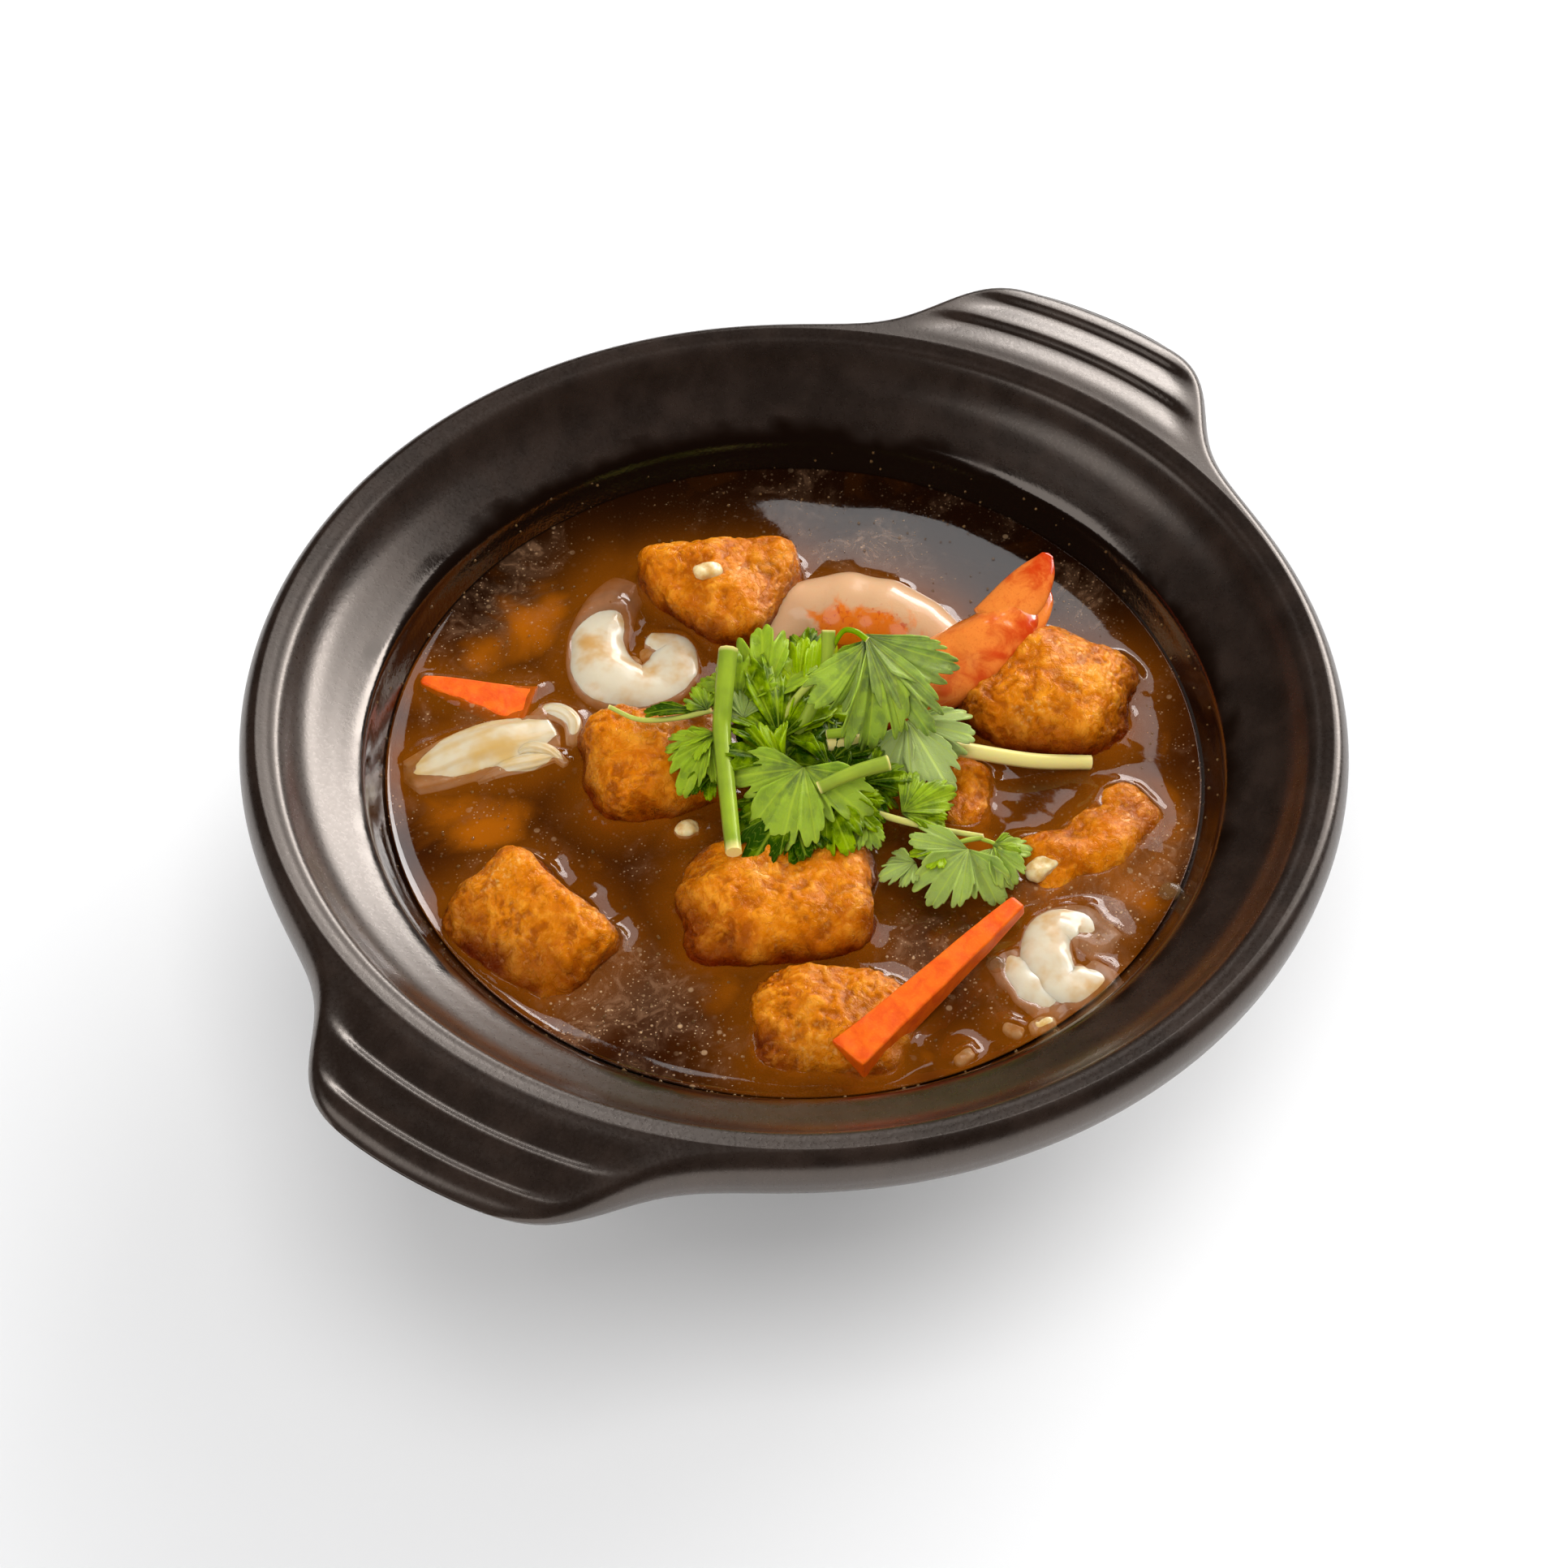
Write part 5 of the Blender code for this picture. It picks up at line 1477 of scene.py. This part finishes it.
def build_camera(settings):
    """The camera stands at the diner's side and looks down on the rim's middle."""
    lens = bpy.data.cameras.new("camera")
    lens.lens = CAMERA_LENS
    lens.sensor_width = 36.0
    lens.shift_x, lens.shift_y = CAMERA_SHIFT
    lens.clip_start = 0.01
    camera = place_object("camera", lens)
    place = CAMERA_AIM + from_diner(0, CAMERA_ELEVATION, CAMERA_DISTANCE)
    aim = (CAMERA_AIM - place).to_track_quat("-Z", "Y").to_matrix()
    roll = Matrix.Rotation(math.radians(settings.camera_roll), 3, "Z")
    camera.matrix_world = Matrix.Translation(place) @ (aim @ roll).to_4x4()
    bpy.context.scene.camera = camera
    bpy.context.scene.view_settings.view_transform = "Standard"


# ---------------------------------------------------------------- the add-on


def colour(name, code, description):
    """A colour setting. Its default is a hex sRGB colour."""
    return bpy.props.FloatVectorProperty(
        name=name, description=description, subtype="COLOR", size=4, min=0, max=1, default=srgb(code)
    )


def measure(name, default, description):
    """A plain number setting."""
    return bpy.props.FloatProperty(name=name, description=description, default=default)


def portion(name, default, description):
    """A setting from 0 to 1."""
    return bpy.props.FloatProperty(
        name=name, description=description, subtype="FACTOR", min=0, max=1, default=default
    )


def tally(name, default, least, description):
    """A whole number setting."""
    return bpy.props.IntProperty(name=name, description=description, default=default, min=least)


class ClaypotPot(bpy.types.PropertyGroup):
    """The sizes and colours of the pot"""

    sides: tally("Sides", 480, 48, "Sides round the pot")
    roughness: portion("Roughness", 0.3, "Roughness of the dry glaze")
    glaze: colour("Glaze", "1e1510", "Dark matt glaze")
    glaze_light: colour("Light glaze", "2b201a", "Lighter mottling of the glaze")
    glaze_wet: colour("Wet glaze", "120905", "Glaze wet with broth")


class ClaypotBroth(bpy.types.PropertyGroup):
    """The sizes and colours of the broth"""

    broth_sides: tally("Sides", 560, 48, "Sides round the broth")
    ripple_grid: measure("Grid", 0.55, "Spacing of the surface's rings in mm")
    food_climb: measure("Climb", 1.1, "How far it climbs the food in mm")
    wall_climb: measure("Wall climb", 1.5, "How far it climbs the wall in mm")
    haze: portion("Haze", 0.84, "How much the veil hides")
    haze_near: portion("Haze at food", 0.5, "How much the veil hides beside food")
    density: measure("Density", 110.0, "How fast the broth swallows light, per metre")
    tint: colour("Tint", "e0903a", "What is left of white light as it passes through the broth")
    # Painted shade: the veil's colour at the back of the broth.
    dark: colour("Dark", "120703", "The veil over clear, dark broth")
    deep: colour("Deep", "301205", "The veil over murky broth")
    # Painted glow of food sunk just under the surface.
    glow: colour("Glow", "b05e0a", "The veil over food just under the surface")
    milky: colour("Milky", "906c50", "Starch wisps")
    speck: colour("Speck", "dcb488", "Specks of starch and fat")
    fat: colour("Fat", "c79a62", "Paler fat in the droplets")
    droplets_each_cm2: measure("Droplets", 4.0, "Droplets on each square cm")
    smallest_droplet: measure("Smallest droplet", 0.12, "Radius in mm")
    largest_droplet: measure("Largest droplet", 0.36, "Radius in mm")


class ClaypotTofu(bpy.types.PropertyGroup):
    """The skin of the fried tofu"""

    spacing: measure("Spacing", 0.45, "Spacing of the skin's points in mm")
    golden: colour("Golden", "e28204", "Main colour of the fried skin")
    amber: colour("Amber", "c66202", "Darker patches of the skin")
    # Painted shade in the hollows of the skin.
    crease_shade: colour("Crease", "a44a00", "Inside the crinkles")
    # Painted light on the crests, also used for random lighter smears.
    crest: colour("Crest", "f6a42c", "On the blisters and crests")
    frosting: colour("Frosting", "f9cc7c", "Fine pale bubbles of the crust")
    # Soaking and painted shade on the lower faces.
    soaked_and_shaded: colour("Soaked", "7a4618", "What soaking multiplies the skin's colour by")


class ClaypotSeafood(bpy.types.PropertyGroup):
    """The colours of the shrimp and the squid"""

    flesh: colour("Flesh", "d8ab80", "Milky shrimp flesh")
    band: colour("Band", "e8790c", "Orange band")
    streak: colour("Streak", "cc3f0a", "Red streaks and dots")
    shell: colour("Shell", "ee8634", "Tail shell")
    shell_tip: colour("Shell tip", "cc3c0c", "Deepest shell")
    squid: colour("Squid", "d6cab0", "Squid flesh")
    squid_warm: colour("Warm squid", "c89a58", "Thinner squid flesh")


class ClaypotVegetables(bpy.types.PropertyGroup):
    """The colours of the cabbage, the carrots and the garlic"""

    cabbage: colour("Cabbage", "d6c9ac", "Pale cabbage rib")
    cabbage_warm: colour("Warm cabbage", "cca868", "Yellower cabbage")
    cabbage_vein: colour("Cabbage fibre", "c0984e", "Fibres of the rib")
    carrot: colour("Carrot", "f46a08", "Main carrot colour")
    carrot_deep: colour("Deep carrot", "e04e04", "Deeper streaks")
    carrot_light: colour("Light carrot", "fb8c20", "Bright grain")
    garlic: colour("Garlic", "ead6a4", "Braised garlic")
    garlic_warm: colour("Warm garlic", "cfa45c", "Browner garlic")


class ClaypotCoriander(bpy.types.PropertyGroup):
    """The sizes and colours of the coriander"""

    ribs: tally("Ribs", 9, 3, "Ribs round a stalk")
    rib_floor: portion("Rib floor", 0.93, "Radius between the ribs, as a share")
    veins: measure("Veins", FINGERS, "Main veins across a leaf")
    # Painted light: the colour of a lit leaf.
    leaf_lit: colour("Bright leaf", "90ac00", "Lit young leaf")
    # Painted shade: the colour of a leaf in shadow.
    leaf_shaded: colour("Dark leaf", "1e3e00", "Older leaf")
    leaf_under: colour("Leaf underside", "a2b26c", "Duller underside")
    leaf_vein: colour("Vein", "bcd036", "Veins")
    stalk: colour("Stalk", "729200", "Stalk")
    stalk_pale: colour("Pale stalk", "8aa808", "Paler stalk")
    stalk_cream: colour("Creamy stalk", "ead88c", "Old stalk and cut ends")


class ClaypotStage(bpy.types.PropertyGroup):
    """The floor, the lights and the camera"""

    floor: colour("Floor", "f0f0f0", "Pale floor")
    walls: colour("Walls", "ffffff", "Light from low down")
    ceiling: colour("Ceiling", "9a9a9c", "Light from overhead")
    world_strength: measure("World", 0.72, "Strength of the surroundings")
    light_power: measure("Lights", 1.0, "Scales every softbox")
    camera_roll: measure("Camera roll", 1.11, "In degrees")


class CLAYPOT_OT_pot(bpy.types.Operator):
    """Build the stoneware pot"""

    bl_idname = "claypot.pot"
    bl_label = "Pot"

    def execute(self, context):
        build_pot(context.scene.claypot_pot)
        return {"FINISHED"}


class CLAYPOT_OT_tofu(bpy.types.Operator):
    """Build the blocks of fried tofu"""

    bl_idname = "claypot.tofu"
    bl_label = "Fried tofu"

    def execute(self, context):
        build_tofu(context.scene.claypot_tofu)
        return {"FINISHED"}


class CLAYPOT_OT_seafood(bpy.types.Operator):
    """Build the shrimp and the squid"""

    bl_idname = "claypot.seafood"
    bl_label = "Shrimp and squid"

    def execute(self, context):
        build_shrimp(context.scene.claypot_seafood)
        build_squid(context.scene.claypot_seafood)
        return {"FINISHED"}


class CLAYPOT_OT_vegetables(bpy.types.Operator):
    """Build the cabbage, the carrots and the garlic"""

    bl_idname = "claypot.vegetables"
    bl_label = "Vegetables"

    def execute(self, context):
        build_cabbage(context.scene.claypot_vegetables)
        build_carrots(context.scene.claypot_vegetables)
        build_garlic(context.scene.claypot_vegetables)
        return {"FINISHED"}


class CLAYPOT_OT_coriander(bpy.types.Operator):
    """Build the coriander's leaves and stalks"""

    bl_idname = "claypot.coriander"
    bl_label = "Coriander"

    def execute(self, context):
        build_leaves(context.scene.claypot_coriander)
        build_stalks(context.scene.claypot_coriander)
        return {"FINISHED"}


class CLAYPOT_OT_broth(bpy.types.Operator):
    """Pour the broth round the food and scatter its droplets"""

    bl_idname = "claypot.broth"
    bl_label = "Broth"

    def execute(self, context):
        build_broth(context.scene.claypot_broth)
        build_bubbles(context.scene.claypot_broth)
        build_droplets(context.scene.claypot_broth)
        return {"FINISHED"}


class CLAYPOT_OT_stage(bpy.types.Operator):
    """Set up the floor, the lights and the camera"""

    bl_idname = "claypot.stage"
    bl_label = "Stage"

    def execute(self, context):
        build_floor(context.scene.claypot_stage)
        build_lights(context.scene.claypot_stage)
        build_camera(context.scene.claypot_stage)
        return {"FINISHED"}


SETTINGS = {
    "claypot_pot": ClaypotPot,
    "claypot_broth": ClaypotBroth,
    "claypot_tofu": ClaypotTofu,
    "claypot_seafood": ClaypotSeafood,
    "claypot_vegetables": ClaypotVegetables,
    "claypot_coriander": ClaypotCoriander,
    "claypot_stage": ClaypotStage,
}
OPERATORS = [
    CLAYPOT_OT_pot,
    CLAYPOT_OT_tofu,
    CLAYPOT_OT_seafood,
    CLAYPOT_OT_vegetables,
    CLAYPOT_OT_coriander,
    CLAYPOT_OT_broth,
    CLAYPOT_OT_stage,
]


class CLAYPOT_PT_panel(bpy.types.Panel):
    """Lists the claypot's operators and settings"""

    bl_idname = "CLAYPOT_PT_panel"
    bl_label = "Claypot tofu"
    bl_space_type = "VIEW_3D"
    bl_region_type = "UI"
    bl_category = "Claypot"

    def draw(self, context):
        """One button for each operator, and one box for each group of settings."""
        for operator in OPERATORS:
            self.layout.operator(operator.bl_idname)
        for name, group in SETTINGS.items():
            box = self.layout.box()
            for key in group.__annotations__:
                box.prop(getattr(context.scene, name), key)


CLASSES = [*SETTINGS.values(), *OPERATORS, CLAYPOT_PT_panel]


def register():
    """Adds the classes, and each group of settings to the scene."""
    for made in CLASSES:
        bpy.utils.register_class(made)
    for name, group in SETTINGS.items():
        setattr(bpy.types.Scene, name, bpy.props.PointerProperty(type=group))


def unregister():
    """Takes away what register adds."""
    for name in SETTINGS:
        delattr(bpy.types.Scene, name)
    for made in reversed(CLASSES):
        bpy.utils.unregister_class(made)


def main():
    """Builds every piece in order."""
    register()
    bpy.ops.claypot.pot()
    bpy.ops.claypot.tofu()
    bpy.ops.claypot.seafood()
    bpy.ops.claypot.vegetables()
    bpy.ops.claypot.coriander()
    bpy.ops.claypot.broth()
    bpy.ops.claypot.stage()


if __name__ == "__main__":
    main()
